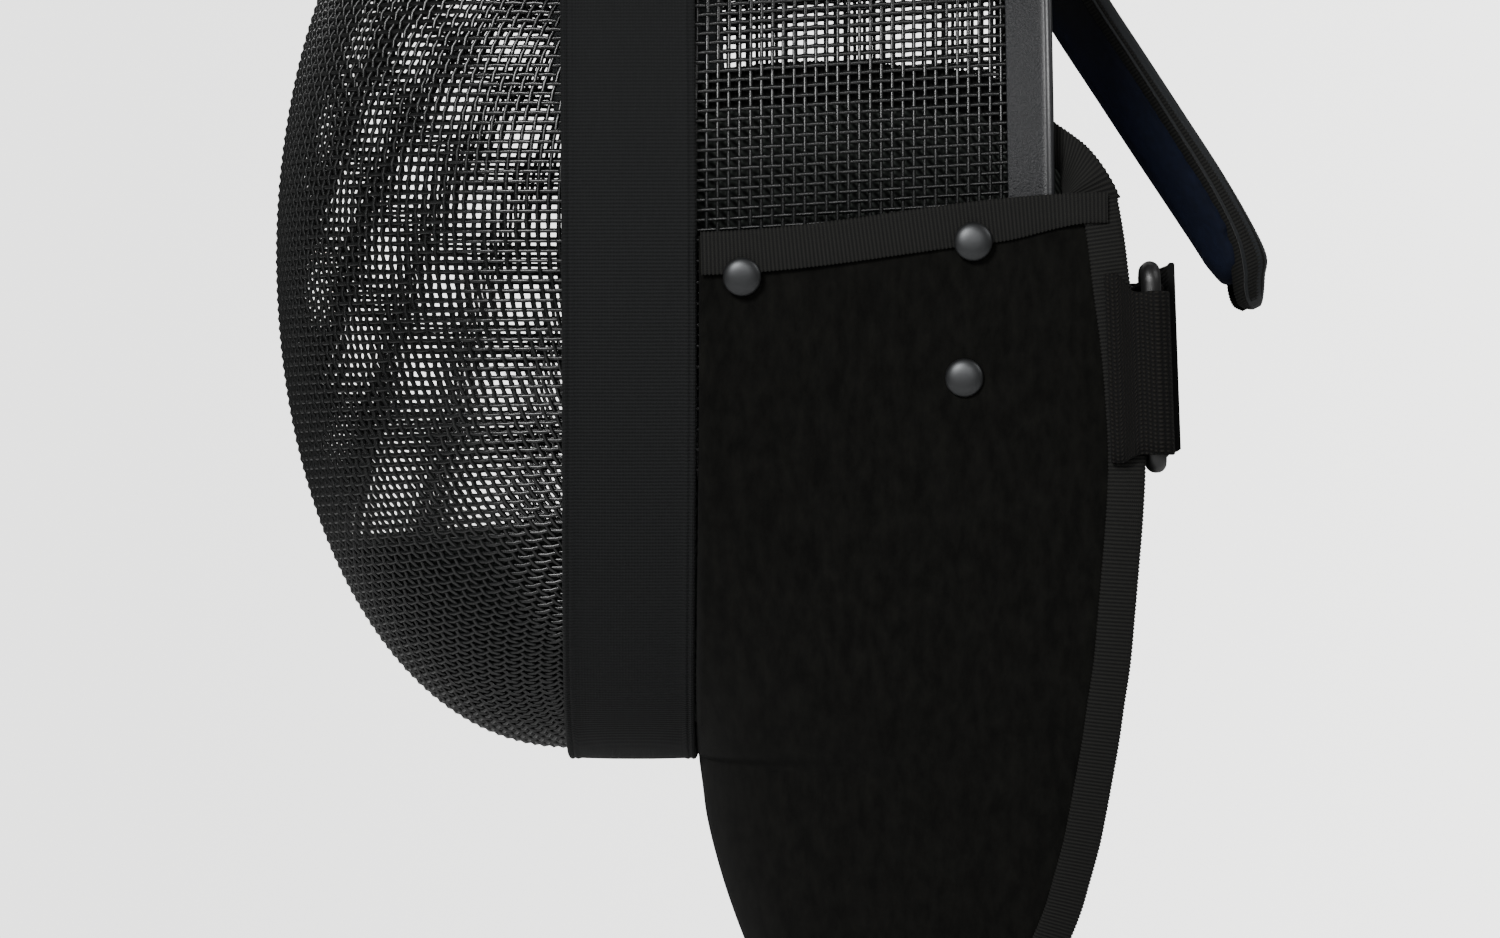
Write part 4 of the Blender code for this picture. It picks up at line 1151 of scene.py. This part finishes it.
lining_half = np.array([lining_column(turn, rear) for turn, rear in LINING_COLUMNS])
lining_grid = np.concatenate((lining_half, mirror(lining_half[:-1][::-1])))
lining = write_grid(
    "knit_lining", refine_columns(refine(lining_grid, 4), 4), knit,
    turn_out=(0.0, 30.0, SEAM_Z), crease=180.0)
lining_body = lining.modifiers.new("thickness", "SOLIDIFY")
lining_body.thickness = LINING_THICK * MM
lining_body.offset = 0.0
bake_modifiers(lining)
settle(lining, "inner_lining", slot="fleece_lining")
print("lining:", count_triangles(lining), "triangles")

# %% Bind the lining's upper edge
lining_normal = np.cross(np.gradient(lining_half, axis=0), np.gradient(lining_half, axis=1))
lining_normal /= np.linalg.norm(lining_normal, axis=2, keepdims=True)
FAN_FROM = 118.0
# Fan where the tape turns down at the rear: Y, Z, length of its ribs
LINING_FAN = (
    (122.8, -99.4, 11.0), (127.0, -102.6, 12.5), (131.2, -106.4, 13.2), (134.8, -111.2, 13.6),
    (137.6, -115.8, 13.8), (139.4, -119.4, 14.0),
)
FAN_CENTRE = (123.2, -121.0)
lining_rings = []
last_step = max(step for step in range(lining_half.shape[1]) if lining_half[0, step][1] < FAN_FROM)
for step in range(5, last_step + 1):
    edge, below = lining_half[0, step], lining_half[1, step]
    room = np.linalg.norm(edge - below)
    up = (edge - below) / room
    sign = -1.0 if lining_normal[0, step][0] > 0.0 else 1.0
    near = LINING_THICK / 2 + GAP + 0.2
    far = near + TAPE_THICK
    lining_outline = (
        (-near, -LINING_TAPE), (-far, -LINING_TAPE), (-far, -5.0), (-far, GAP + 0.9),
        (-far + 0.6, GAP + 1.6), (far - 0.6, GAP + 1.6), (far, GAP + 0.9), (far, -4.0),
        (far, -LINING_TAPE + 2.0), (near, -LINING_TAPE + 2.0), (near, GAP + 0.6), (-near, GAP + 0.6),
    )
    ring = []
    for across, tall in lining_outline:
        share = max(0.0, -tall) / room
        inside = lining_normal[0, step] * (1.0 - share) + lining_normal[1, step] * share
        ring.append(edge + up * tall + inside * sign * across)
    lining_rings.append(ring)
edge_x = lining_half[0, last_step:, 0]
edge_y = lining_half[0, last_step:, 1]
for y, z, rib_length in LINING_FAN:
    edge = np.array((float(np.interp(y, edge_y, edge_x)), y, z))
    up = edge - np.array((edge[0], *FAN_CENTRE))
    up /= np.linalg.norm(up)
    ring = []
    for across, tall in lining_outline:
        tall *= rib_length / LINING_TAPE if tall < 0.0 else 1.0
        ring.append(edge + up * tall + np.array((-across, 0.0, 0.0)))
    lining_rings.append(ring)
settle(rib_tape("lining_tape_left", lining_rings), "lining_binding_left", slot="ribbed_tape")
settle(rib_tape("lining_tape_right", [mirror(ring) for ring in lining_rings]),
       "lining_binding_right", slot="ribbed_tape")

# %% [markdown]
# ## Swelling a cushion
#
# Foam pushes its cover out between the seams. The form is first covered with an even
# skin of small faces, then a cloth simulation with air pressure and no gravity swells
# it. No point may move further than a cap, so the pad stays in its place.

# %% Swell a closed form
def puff(piece, voxel, pressure, cap, smooth=1):
    """Remesh a closed piece, swell it by cloth pressure and smooth it once."""
    skin = piece.modifiers.new("even_skin", "REMESH")
    skin.mode = "VOXEL"
    skin.voxel_size = voxel * MM
    bake_modifiers(piece)
    count = len(piece.data.vertices)
    before = np.empty(count * 3)
    piece.data.vertices.foreach_get("co", before)
    cloth = piece.modifiers.new("air", "CLOTH")
    cloth.settings.use_pressure = True
    cloth.settings.uniform_pressure_force = pressure
    cloth.settings.effector_weights.gravity = 0.0
    for number in range(1, 21):
        bpy.context.scene.frame_set(number)
    graph = bpy.context.evaluated_depsgraph_get()
    after = np.empty(count * 3)
    piece.evaluated_get(graph).data.vertices.foreach_get("co", after)
    piece.modifiers.clear()
    bpy.context.scene.frame_set(1)
    move = (after - before).reshape(-1, 3)
    length = np.linalg.norm(move, axis=1, keepdims=True)
    move *= np.minimum(1.0, cap * MM / np.maximum(length, 1e-9))
    piece.data.vertices.foreach_set("co", before + move.ravel())
    print(piece.name, "swelled by up to", round(float(np.minimum(length, cap * MM).max() / MM), 1), "mm")
    round_off = piece.modifiers.new("round_off", "SUBSURF")
    round_off.levels = smooth
    bake_modifiers(piece)
    piece.data.shade_smooth()
    return piece


# %% [markdown]
# ## Head pad
#
# A C-shaped foam strip lines the seam from temple to temple. Its grey brushed cloth is
# seen behind the face mesh. The dark tab that closes its lower end is not made here; the
# pad ends in the same grey cloth.

# %% Brushed pad cloth
pad_cloth, pad_shader = start_finish(
    "brushed_loop_cloth", "393c3e", 0.95, Specular_IOR_Level=0.15, Sheen_Weight=0.1)
pad_fuzz = add_node(pad_cloth, "ShaderNodeTexNoise", {"Scale": 420.0, "Detail": 5.0, "Roughness": 0.7})
pad_tone = add_node(
    pad_cloth, "ShaderNodeMix",
    {"Factor": pad_fuzz.outputs["Fac"], "A": to_linear("1d2022"), "B": to_linear("54585a")},
    data_type="RGBA",
)
pad_bump = add_node(
    pad_cloth, "ShaderNodeBump",
    {"Height": pad_fuzz.outputs["Fac"], "Strength": 0.9, "Distance": 0.0012},
)
feed(pad_cloth, pad_shader, Base_Color=pad_tone.outputs["Result"], Normal=pad_bump.outputs["Normal"])

# %% Make the head pad
PAD_HALF_WIDTH = 27.5
PAD_END_TURN = 79.5
PAD_LAST_DROP = 8.6
PAD_SKIN = 1.2  # room left for the swelling
# Outline of the pad: share of its half-width, share of its thickness
PAD_OUTLINE = (
    (-1.0, 0.45), (-0.97, 0.78), (-0.88, 0.93), (-0.5, 1.0), (0.5, 1.0), (0.88, 0.93), (0.97, 0.78),
    (1.0, 0.45), (0.98, 0.18), (0.92, 0.0), (0.3, 0.0), (-0.3, 0.0), (-0.92, 0.0), (-0.98, 0.18),
)


def pad_ring(turn, skin):
    """Return one ring of the pad, drawn in by a skin on all sides."""
    centre = np.array(seam_point(turn))
    inward = -seam_outward(turn)
    away = abs(turn)
    outer = WIRE_SHEET / 2 + GAP + 7.1 * float(smooth_step(40.0, 62.0, away))
    thick = 13.0 - outer + (PAD_LAST_DROP + outer - 13.0) * float(smooth_step(10.0, 60.0, away))
    round_off = float(smooth_step(-PAD_END_TURN - 0.1, -PAD_END_TURN + 6.0, -away))
    thick = thick * (0.45 + 0.55 * round_off) - skin
    narrow = 1.0 - 0.10 * float(smooth_step(20.0, 80.0, away)) - 0.12 * (1.0 - round_off)
    ring = []
    for along, deep in PAD_OUTLINE:
        y = seam_y(turn) + along * (PAD_HALF_WIDTH * narrow - skin)
        bend = 0.055 * max(0.0, seam_y(turn) - 17.0 - y) ** 1.5
        x, z = centre + inward * (outer + thick * deep + bend)
        ring.append((x, y, z))
    return ring


pad_turns = [*np.linspace(-PAD_END_TURN + 1.0, PAD_END_TURN - 1.0, 80)]
pad = write_grid("crown_pad", [pad_ring(turn, PAD_SKIN) for turn in pad_turns], pad_cloth,
                 close_columns=True, caps=True)
puff(pad, 3.0, 3.0, 1.6)
settle(pad, "head_pad", slot="pad_cloth")
print("pad:", count_triangles(pad), "triangles")

# %% [markdown]
# ## Tongue
#
# A padded steel spring reaches over the back of the head. Its inner side is a cushion in
# blue-black velvet, its outer side is smooth knit, and a ribbed tape closes the seam
# between them on both sides and folds over the tip.

# %% Velvet and smooth knit
velvet, velvet_shader = start_finish(
    "blue_black_velvet", "0b0e18", 0.9, Specular_IOR_Level=0.12, Sheen_Weight=0.10,
    Sheen_Roughness=0.35)
velvet_shader.inputs["Sheen Tint"].default_value = to_linear("4a5a8c")
velvet_pile = add_node(velvet, "ShaderNodeTexNoise", {"Scale": 1100.0, "Detail": 3.0})
velvet_crush = add_node(velvet, "ShaderNodeTexNoise", {"Scale": 55.0, "Detail": 3.0})
velvet_plain_tone = add_node(
    velvet, "ShaderNodeMix",
    {"Factor": velvet_crush.outputs["Fac"], "A": to_linear("0a0a0c"), "B": to_linear("101014")},
    data_type="RGBA",
)
# Painted sheen: a bluer, brighter copy of the plain velvet tone.
velvet_painted_sheen = add_node(
    velvet, "ShaderNodeMix",
    {"Factor": velvet_crush.outputs["Fac"], "A": to_linear("0b0d14"), "B": to_linear("141a2c")},
    data_type="RGBA",
)
velvet_place = add_node(velvet, "ShaderNodeTexCoord")
velvet_parts = add_node(velvet, "ShaderNodeSeparateXYZ", {"Vector": velvet_place.outputs["Object"]})
# Painted sheen by height: from Z -60 mm down to -95 mm the cushion blends from the plain tone to the sheen
# tone.
velvet_sheen_share = add_node(
    velvet, "ShaderNodeMapRange",
    {"Value": velvet_parts.outputs["Z"], "From Min": -0.06, "From Max": -0.095},
)
velvet_tone = add_node(
    velvet, "ShaderNodeMix",
    {"Factor": velvet_sheen_share.outputs["Result"], "A": velvet_plain_tone.outputs["Result"],
     "B": velvet_painted_sheen.outputs["Result"]},
    data_type="RGBA",
)
velvet_bump = add_node(
    velvet, "ShaderNodeBump", {"Height": velvet_pile.outputs["Fac"], "Strength": 0.6, "Distance": 0.0003})
feed(velvet, velvet_shader, Base_Color=velvet_tone.outputs["Result"], Normal=velvet_bump.outputs["Normal"])

smooth_knit, smooth_shader = start_finish(
    "blue_black_smooth_knit", "12171b", 0.6, Specular_IOR_Level=0.3, Sheen_Weight=0.06)
smooth_loops = add_node(smooth_knit, "ShaderNodeTexNoise", {"Scale": 1600.0, "Detail": 2.0})
smooth_cloud = add_node(smooth_knit, "ShaderNodeTexNoise", {"Scale": 30.0, "Detail": 2.0})
smooth_tone = add_node(
    smooth_knit, "ShaderNodeMix",
    {"Factor": smooth_cloud.outputs["Fac"], "A": to_linear("0a0d10"), "B": to_linear("11161a")},
    data_type="RGBA",
)
smooth_bump = add_node(
    smooth_knit, "ShaderNodeBump",
    {"Height": smooth_loops.outputs["Fac"], "Strength": 0.4, "Distance": 0.0002},
)
feed(smooth_knit, smooth_shader, Base_Color=smooth_tone.outputs["Result"],
     Normal=smooth_bump.outputs["Normal"])

# %% Make the tongue
TONGUE_HALF_WIDTH = 20.0
# Middle line: Y, Z, cushion thickness, back thickness, share of the width
TONGUE_LINE = (
    (62.0, 10.6, 2.6, 2.2, 0.62), (76.0, 7.6, 6.0, 3.2, 0.72), (92.0, -1.2, 9.6, 4.2, 0.84),
    (106.5, -17.0, 11.6, 4.8, 0.92), (119.2, -37.5, 12.4, 5.0, 0.97), (132.6, -60.0, 12.4, 5.2, 1.0),
    (144.2, -77.8, 12.4, 5.2, 1.0), (156.2, -96.2, 12.2, 5.4, 1.0), (167.2, -113.0, 11.6, 5.8, 0.99),
    (176.0, -127.4, 9.8, 6.6, 0.95), (180.4, -136.0, 7.0, 8.4, 0.88),
)
# Outlines of the two halves: share of the half-width, share of the thickness
CUSHION_OUTLINE = (
    (1.0, 0.0), (1.03, -0.3), (0.98, -0.62), (0.80, -0.88), (0.45, -1.0), (0.0, -1.03),
    (-0.45, -1.0), (-0.80, -0.88), (-0.98, -0.62), (-1.03, -0.3), (-1.0, 0.0),
)
BACK_OUTLINE = (
    (-0.94, 0.0), (-1.04, 0.22), (-1.05, 0.55), (-0.97, 0.85), (-0.75, 0.98), (0.0, 1.03),
    (0.75, 0.98), (0.97, 0.85), (1.05, 0.55), (1.04, 0.22), (0.94, 0.0),
)
# Ends: step ahead, step outward, share of the size before
CUSHION_END = ((2.6, 0.0, 0.72), (1.2, 0.0, 0.45))
BACK_END = ((5.0, -2.6, 0.90), (3.8, -1.6, 0.84), (2.6, -0.6, 0.66), (1.0, 0.0, 0.5))


def tongue_stations():
    """Return point, forward and outward directions and sizes along the tongue."""
    line = np.array([row[:2] for row in TONGUE_LINE])
    stations = []
    for number, row in enumerate(TONGUE_LINE):
        ahead = line[min(len(line) - 1, number + 1)] - line[max(0, number - 1)]
        ahead /= np.linalg.norm(ahead)
        outward = np.array((-ahead[1], ahead[0]))
        stations.append((line[number], ahead, outward * math.copysign(1.0, outward[0]), row))
    return stations


def round_end(rings, steps):
    """Add rings that move on past the last one and draw in towards its middle."""
    _, ahead, outward, _ = tongue_stations()[-1]
    for step, side_step, shrink in steps:
        ring = np.asarray(rings[-1], float)
        middle = ring.mean(axis=0)
        move = ahead * step + outward * side_step
        rings.append(middle + (ring - middle) * shrink + np.array((0.0, *move)))


cushion_rings = []
back_rings = []
for middle, ahead, outward, row in tongue_stations():
    cushion, back, width = row[2], row[3], row[4] * TONGUE_HALF_WIDTH
    join = middle + outward * ((cushion + back) / 2 - back)
    cushion_rings.append([
        (across * (width - 0.8), *(join + outward * (deep * (cushion - GAP - 0.8) - GAP)))
        for across, deep in CUSHION_OUTLINE])
    back_rings.append([(across * width, *(join + outward * deep * back)) for across, deep in BACK_OUTLINE])
round_end(cushion_rings, CUSHION_END)
round_end(back_rings, BACK_END)
cushion = write_grid(
    "tongue_cushion", refine_columns(refine(cushion_rings, 5), 2, True), velvet,
    close_columns=True, caps=True)
puff(cushion, 2.5, 3.0, 1.2)
settle(cushion, "tongue_pad", slot="blue_black_velvet")
outer = write_grid(
    "tongue_outer", refine_columns(refine(back_rings, 8), 3, True), smooth_knit,
    close_columns=True, caps=True, crease=60.0)
settle(outer, "tongue_back", slot="blue_black_knit")
print("tongue:", count_triangles(cushion) + count_triangles(outer), "triangles")

# %% Tape the tongue's seams
# Outline of the strip on the outer half's side: share of the half-width, share of the thickness
STRIP_FROM = ((0.97, -0.45), (1.03, -0.12), (1.055, 0.15), (1.06, 0.40), (1.045, 0.58))
STRIP_AT_TIP = ((0.93, -0.40), (1.04, 0.00), (1.06, 0.50), (0.97, 0.86), (0.60, 1.02))
strip_rings = []
for middle, ahead, outward, row in tongue_stations():
    cushion_deep, back_deep, width = row[2], row[3], row[4] * TONGUE_HALF_WIDTH
    join = middle + outward * ((cushion_deep + back_deep) / 2 - back_deep)
    widen = float(smooth_step(110.0, 178.0, middle[0]))
    shape = np.array(STRIP_FROM) * (1.0 - widen) + np.array(STRIP_AT_TIP) * widen
    proud = [(across * width + 0.25, *(join + outward * (deep * back_deep + 0.1))) for across, deep in shape]
    sunk = [(across * width - 0.6, *(join + outward * (deep * back_deep - 0.1)))
            for across, deep in shape[::-1]]
    strip_rings.append(proud + sunk)
for ring_before, ring_after in zip(back_rings[len(strip_rings) - 1:-1], back_rings[len(strip_rings):-1]):
    before_middle = np.asarray(ring_before).mean(axis=0)
    after_middle = np.asarray(ring_after).mean(axis=0)
    shrink = np.ptp(np.asarray(ring_after)[:, 0]) / np.ptp(np.asarray(ring_before)[:, 0])
    strip_rings.append(after_middle + (np.asarray(strip_rings[-1]) - before_middle) * shrink)
settle(rib_tape("tongue_tape_left", strip_rings, depth=0.2), "tongue_back", slot="ribbed_tape")
settle(rib_tape("tongue_tape_right", [mirror(ring) for ring in strip_rings], depth=0.2),
       "tongue_back", slot="ribbed_tape")

# %% [markdown]
# ## Rivets
#
# Six domed rivets hold the bib to the frame inside. They are turned steel with a dark
# gunmetal plating, tumbled to a satin face, so the finish is a true metal with a dark
# colour and a middling roughness, and each dome gathers one soft highlight.

# %% Gunmetal
gunmetal, gunmetal_shader = start_finish("tumbled_gunmetal_plating", "3f4043", 0.42, Metallic=0.9)
gunmetal_wear = add_node(gunmetal, "ShaderNodeTexNoise", {"Scale": 420.0, "Detail": 4.0})
gunmetal_rough = add_node(
    gunmetal, "ShaderNodeMapRange",
    {"Value": gunmetal_wear.outputs["Fac"], "From Min": 0.3, "From Max": 0.7, "To Min": 0.36, "To Max": 0.5},
)
gunmetal_tone = add_node(
    gunmetal, "ShaderNodeMix",
    {"Factor": gunmetal_wear.outputs["Fac"], "A": to_linear("373839"), "B": to_linear("474849")},
    data_type="RGBA",
)
feed(gunmetal, gunmetal_shader, Base_Color=gunmetal_tone.outputs["Result"],
     Roughness=gunmetal_rough.outputs["Result"])

# %% Turn the rivets
RIVET_RADIUS = 5.4
RIVET_DOME = 2.3
# Rivets: place, Y, Z, lift off the bib
RIVETS = (
    ("front", 35.3, -141.4, TAPE_THICK + GAP + 0.35),
    ("upper", 99.9, -131.9, TAPE_THICK + GAP + 0.2),
    ("lower", 97.4, -169.8, 0.0),
)
# Outline of the head: share of its radius, share of its height
RIVET_OUTLINE = (
    (0.001, 0.0), (0.90, 0.0), (0.975, 0.06), (1.0, 0.18), (0.99, 0.30), (0.945, 0.46), (0.86, 0.62),
    (0.72, 0.78), (0.54, 0.90), (0.34, 0.965), (0.16, 0.995), (0.001, 1.0),
)
bib_tree = BVHTree.FromObject(bib, bpy.context.evaluated_depsgraph_get())


def bib_spot(y, z, side=1.0):
    """Return the point and outward normal of the bib's face beside a given Y and Z."""
    start = Vector((0.3 * side, y * MM, z * MM))
    hit, normal, _, _ = bib_tree.ray_cast(start, Vector((-side, 0.0, 0.0)))
    normal = np.array(normal)
    return np.array(hit) / MM, normal * math.copysign(1.0, normal[0] * side)


def turn_head(base, out, radius, height, outline, count=56):
    """Return rings of points turned round an axis."""
    beside = np.cross(out, (0.0, 0.0, 1.0))
    beside /= np.linalg.norm(beside)
    above = np.cross(beside, out)
    angles = np.linspace(0.0, math.tau, count, endpoint=False)
    flat = beside * np.cos(angles)[:, None] + above * np.sin(angles)[:, None]
    return np.array([base + flat * radius * wide + out * height * tall for wide, tall in outline])


for name, y, z, lift in RIVETS:
    for side, side_name in ((1.0, "left"), (-1.0, "right")):
        spot, out = bib_spot(y, z, side)
        rings = turn_head(spot + out * (lift + GAP), out, RIVET_RADIUS, RIVET_DOME, RIVET_OUTLINE)
        rivet = write_grid(f"{name}_rivet_{side_name}", rings, gunmetal, close_columns=True, caps=True,
                           crease=70.0)
        settle(rivet, f"rivet_{name}_{side_name}", slot="gunmetal_rivet")
print("rivets:", 2 * len(RIVETS))

# %% [markdown]
# ## Rings, webbing tabs and rear strap
#
# A moulded plastic ring hangs on each rear edge of the bib in a webbing loop. The elastic
# strap runs from ring to ring behind the head and folds back twice at each end.

# %% Moulded plastic and webbing
plastic, plastic_shader = start_finish("moulded_black_nylon", "111111", 0.38, IOR=1.53)
plastic_skin = add_node(plastic, "ShaderNodeTexNoise", {"Scale": 260.0, "Detail": 3.0})
plastic_rough = add_node(
    plastic, "ShaderNodeMapRange",
    {"Value": plastic_skin.outputs["Fac"], "From Min": 0.3, "From Max": 0.7, "To Min": 0.32, "To Max": 0.48},
)
plastic_bump = add_node(
    plastic, "ShaderNodeBump", {"Height": plastic_skin.outputs["Fac"], "Strength": 0.15, "Distance": 0.0003})
feed(plastic, plastic_shader, Roughness=plastic_rough.outputs["Result"],
     Normal=plastic_bump.outputs["Normal"])

webbing, webbing_shader = start_finish(
    "woven_nylon_webbing", "0c0b0a", 0.78, Specular_IOR_Level=0.15, Sheen_Weight=0.005)
webbing_place = add_node(webbing, "ShaderNodeUVMap", uv_map="millimetres")
webbing_wefts = add_node(
    webbing, "ShaderNodeTexWave",
    {"Vector": webbing_place.outputs["UV"], "Scale": wave_scale(1.3), "Distortion": 0.2},
    bands_direction="X",
)
webbing_warps = add_node(
    webbing, "ShaderNodeTexWave",
    {"Vector": webbing_place.outputs["UV"], "Scale": wave_scale(1.2), "Distortion": 0.2},
    bands_direction="Y",
)
webbing_beads = add_node(
    webbing, "ShaderNodeMath",
    {0: webbing_wefts.outputs["Fac"], 1: webbing_warps.outputs["Fac"]}, operation="MULTIPLY")
# Painted highlight and shade: the bead crowns of the weave are lighter and the gaps between them near-black.
webbing_bead_light_and_shade = add_node(
    webbing, "ShaderNodeMix",
    {"Factor": webbing_beads.outputs["Value"], "A": to_linear("020202"), "B": to_linear("1c1a17")},
    data_type="RGBA",
)
webbing_bump = add_node(
    webbing, "ShaderNodeBump",
    {"Height": webbing_beads.outputs["Value"], "Strength": 0.9, "Distance": 0.0004},
)
feed(webbing, webbing_shader, Base_Color=webbing_bead_light_and_shade.outputs["Result"],
     Normal=webbing_bump.outputs["Normal"])

# %% Mould the rings
RING_X = 100.2
RING_INNER_X = 81.0
RING_BAR = 2.8
RING_TOP_Z = -137.0
RING_BOTTOM_Z = -196.4
RING_TOP_Y = 149.3
RING_BOTTOM_Y = 151.4
RING_CORNER = 3.4


def ring_y(z):
    """Return the Y of the ring's leaning plane at a height."""
    return RING_TOP_Y + (RING_BOTTOM_Y - RING_TOP_Y) * (z - RING_TOP_Z) / (RING_BOTTOM_Z - RING_TOP_Z)


def ring_path():
    """Return the middle line of the ring's bar as X and Z round its centre."""
    half_x = (RING_X - RING_INNER_X) / 2 - RING_CORNER
    half_z = (RING_TOP_Z - RING_BOTTOM_Z) / 2 - RING_BAR - RING_CORNER
    path = []
    for quarter, (sign_x, sign_z) in enumerate(((1, 1), (-1, 1), (-1, -1), (1, -1))):
        for step in range(9):
            angle = math.radians(90.0 * quarter + 90.0 * step / 8.0)
            path.append((sign_x * half_x + RING_CORNER * math.cos(angle),
                         sign_z * half_z + RING_CORNER * math.sin(angle)))
    return np.array(path)


path = ring_path()
centre = np.array(((RING_X + RING_INNER_X) / 2, (RING_TOP_Z + RING_BOTTOM_Z) / 2))
ring_rings = []
for number in range(len(path)):
    ahead = path[(number + 1) % len(path)] - path[number - 1]
    outward = np.array((ahead[1], -ahead[0])) / np.linalg.norm(ahead)
    loop = []
    for angle in np.linspace(0.0, math.tau, 20, endpoint=False):
        x, z = centre + path[number] + outward * RING_BAR * math.cos(angle)
        loop.append((x, ring_y(z) + RING_BAR * math.sin(angle), z))
    ring_rings.append(loop)
for side_name, rings in (("left", np.array(ring_rings)), ("right", mirror(ring_rings))):
    ring = write_grid(f"strap_ring_{side_name}", rings, plastic, close_rows=True, close_columns=True)
    settle(ring, f"ring_{side_name}", slot="black_plastic")

# %% Fold the webbing
WEB_THICK = 2.0
STRAP_THICK = 1.8
# Outline of a strip: share of half the thickness, distance in from the edge, which edge
STRIP_OUTLINE = (
    (0.55, 0.0, 0), (1.0, 0.35, 0), (1.0, 4.0, 0), (1.0, 4.0, 1), (1.0, 0.35, 1), (0.55, 0.0, 1),
    (-0.55, 0.0, 1), (-1.0, 0.35, 1), (-1.0, 4.0, 1), (-1.0, 4.0, 0), (-1.0, 0.35, 0), (-0.55, 0.0, 0),
)


def fold_strip(name, path, thick, heights, finish, fine=6):
    """Sweep a strip along a path in plan; heights are its top and bottom Z at each point."""
    route = refine(np.column_stack((path, heights)), fine)
    ahead = np.gradient(route[:, :2], axis=0)
    ahead /= np.linalg.norm(ahead, axis=1, keepdims=True)
    beside = np.stack((-ahead[:, 1], ahead[:, 0]), axis=1)
    rings = []
    for spot, side_way in zip(route, beside):
        ring = []
        for share, deep, edge in STRIP_OUTLINE:
            z = spot[2] - deep if edge == 0 else spot[3] + deep
            x, y = spot[:2] + side_way * share * thick / 2
            ring.append((x, y + ring_y(z) - ring_y(-166.7), z))
        rings.append(ring)
    return write_grid(name, rings, finish, close_columns=True, caps=True, crease=55.0, even=2)


def arc(centre, radius, start, end, count):
    """Return points of an arc in plan, angles in degrees."""
    angles = np.radians(np.linspace(start, end, count))
    return [(centre[0] + radius * math.cos(a), centre[1] + radius * math.sin(a)) for a in angles]


bar_y = ring_y(-166.7)
wrap = RING_BAR + GAP + WEB_THICK / 2
tab_x = 100.5 + BIB_THICK / 2 + GAP + TAPE_THICK + GAP + WEB_THICK / 2
tab_path = [(tab_x + 0.4, 137.4), (tab_x + 0.3, 141.0), (tab_x + 0.2, 145.0)]
tab_path += arc((RING_X, bar_y), wrap, 0.0, 180.0, 9)
tab_path += [(95.8, 146.6), (95.4, 142.6)]
tab_heights = [(-141.0, -193.6)] * 2 + [(-145.6, -191.4)] * (len(tab_path) - 2)
for side_name, sign in (("left", 1.0), ("right", -1.0)):
    route = [(x * sign, y) for x, y in tab_path]
    tab = fold_strip(f"ring_loop_{side_name}", route, WEB_THICK, tab_heights, webbing)
    settle(tab, f"ring_tab_{side_name}", slot="black_webbing")

turn_round = RING_BAR + GAP + STRAP_THICK / 2
half_strap = [(0.0, 147.0), (30.0, 146.8), (58.0, 146.2), (72.0, bar_y - turn_round - 0.1)]
half_strap += arc((RING_INNER_X, bar_y), turn_round, -90.0, 90.0, 9)
half_strap += [(72.0, 153.9), (60.0, 152.6), (48.0, 151.2), (38.0, 150.3)]
half_strap += arc((36.0, 151.55), 1.2, -95.0, -265.0, 7)
half_strap += [(40.0, 152.8), (50.0, 153.8), (62.0, 155.2), (74.0, 156.7), (84.0, 157.0)]
half_heights = [(-141.5, -193.0), (-141.5, -193.0), (-143.0, -191.4), (-143.8, -189.8)]
half_heights += [(-143.8, -189.8)] * 9
half_heights += [(-142.5, -192.0), (-140.0, -193.0), (-139.0, -193.4), (-139.0, -193.0)]
half_heights += [(-139.0, -193.0)] * 7
half_heights += [(-138.6, -192.6), (-138.2, -192.0), (-137.8, -191.2)]
half_heights += [(-137.4, -190.4), (-137.0, -190.0)]
strap_path = [(-x, y) for x, y in half_strap[:0:-1]] + half_strap
strap_heights = half_heights[:0:-1] + half_heights
strap = fold_strip("nape_strap", strap_path, STRAP_THICK, strap_heights, webbing, fine=5)
settle(strap, "rear_strap", slot="black_webbing")
print("strap:", count_triangles(strap), "triangles")
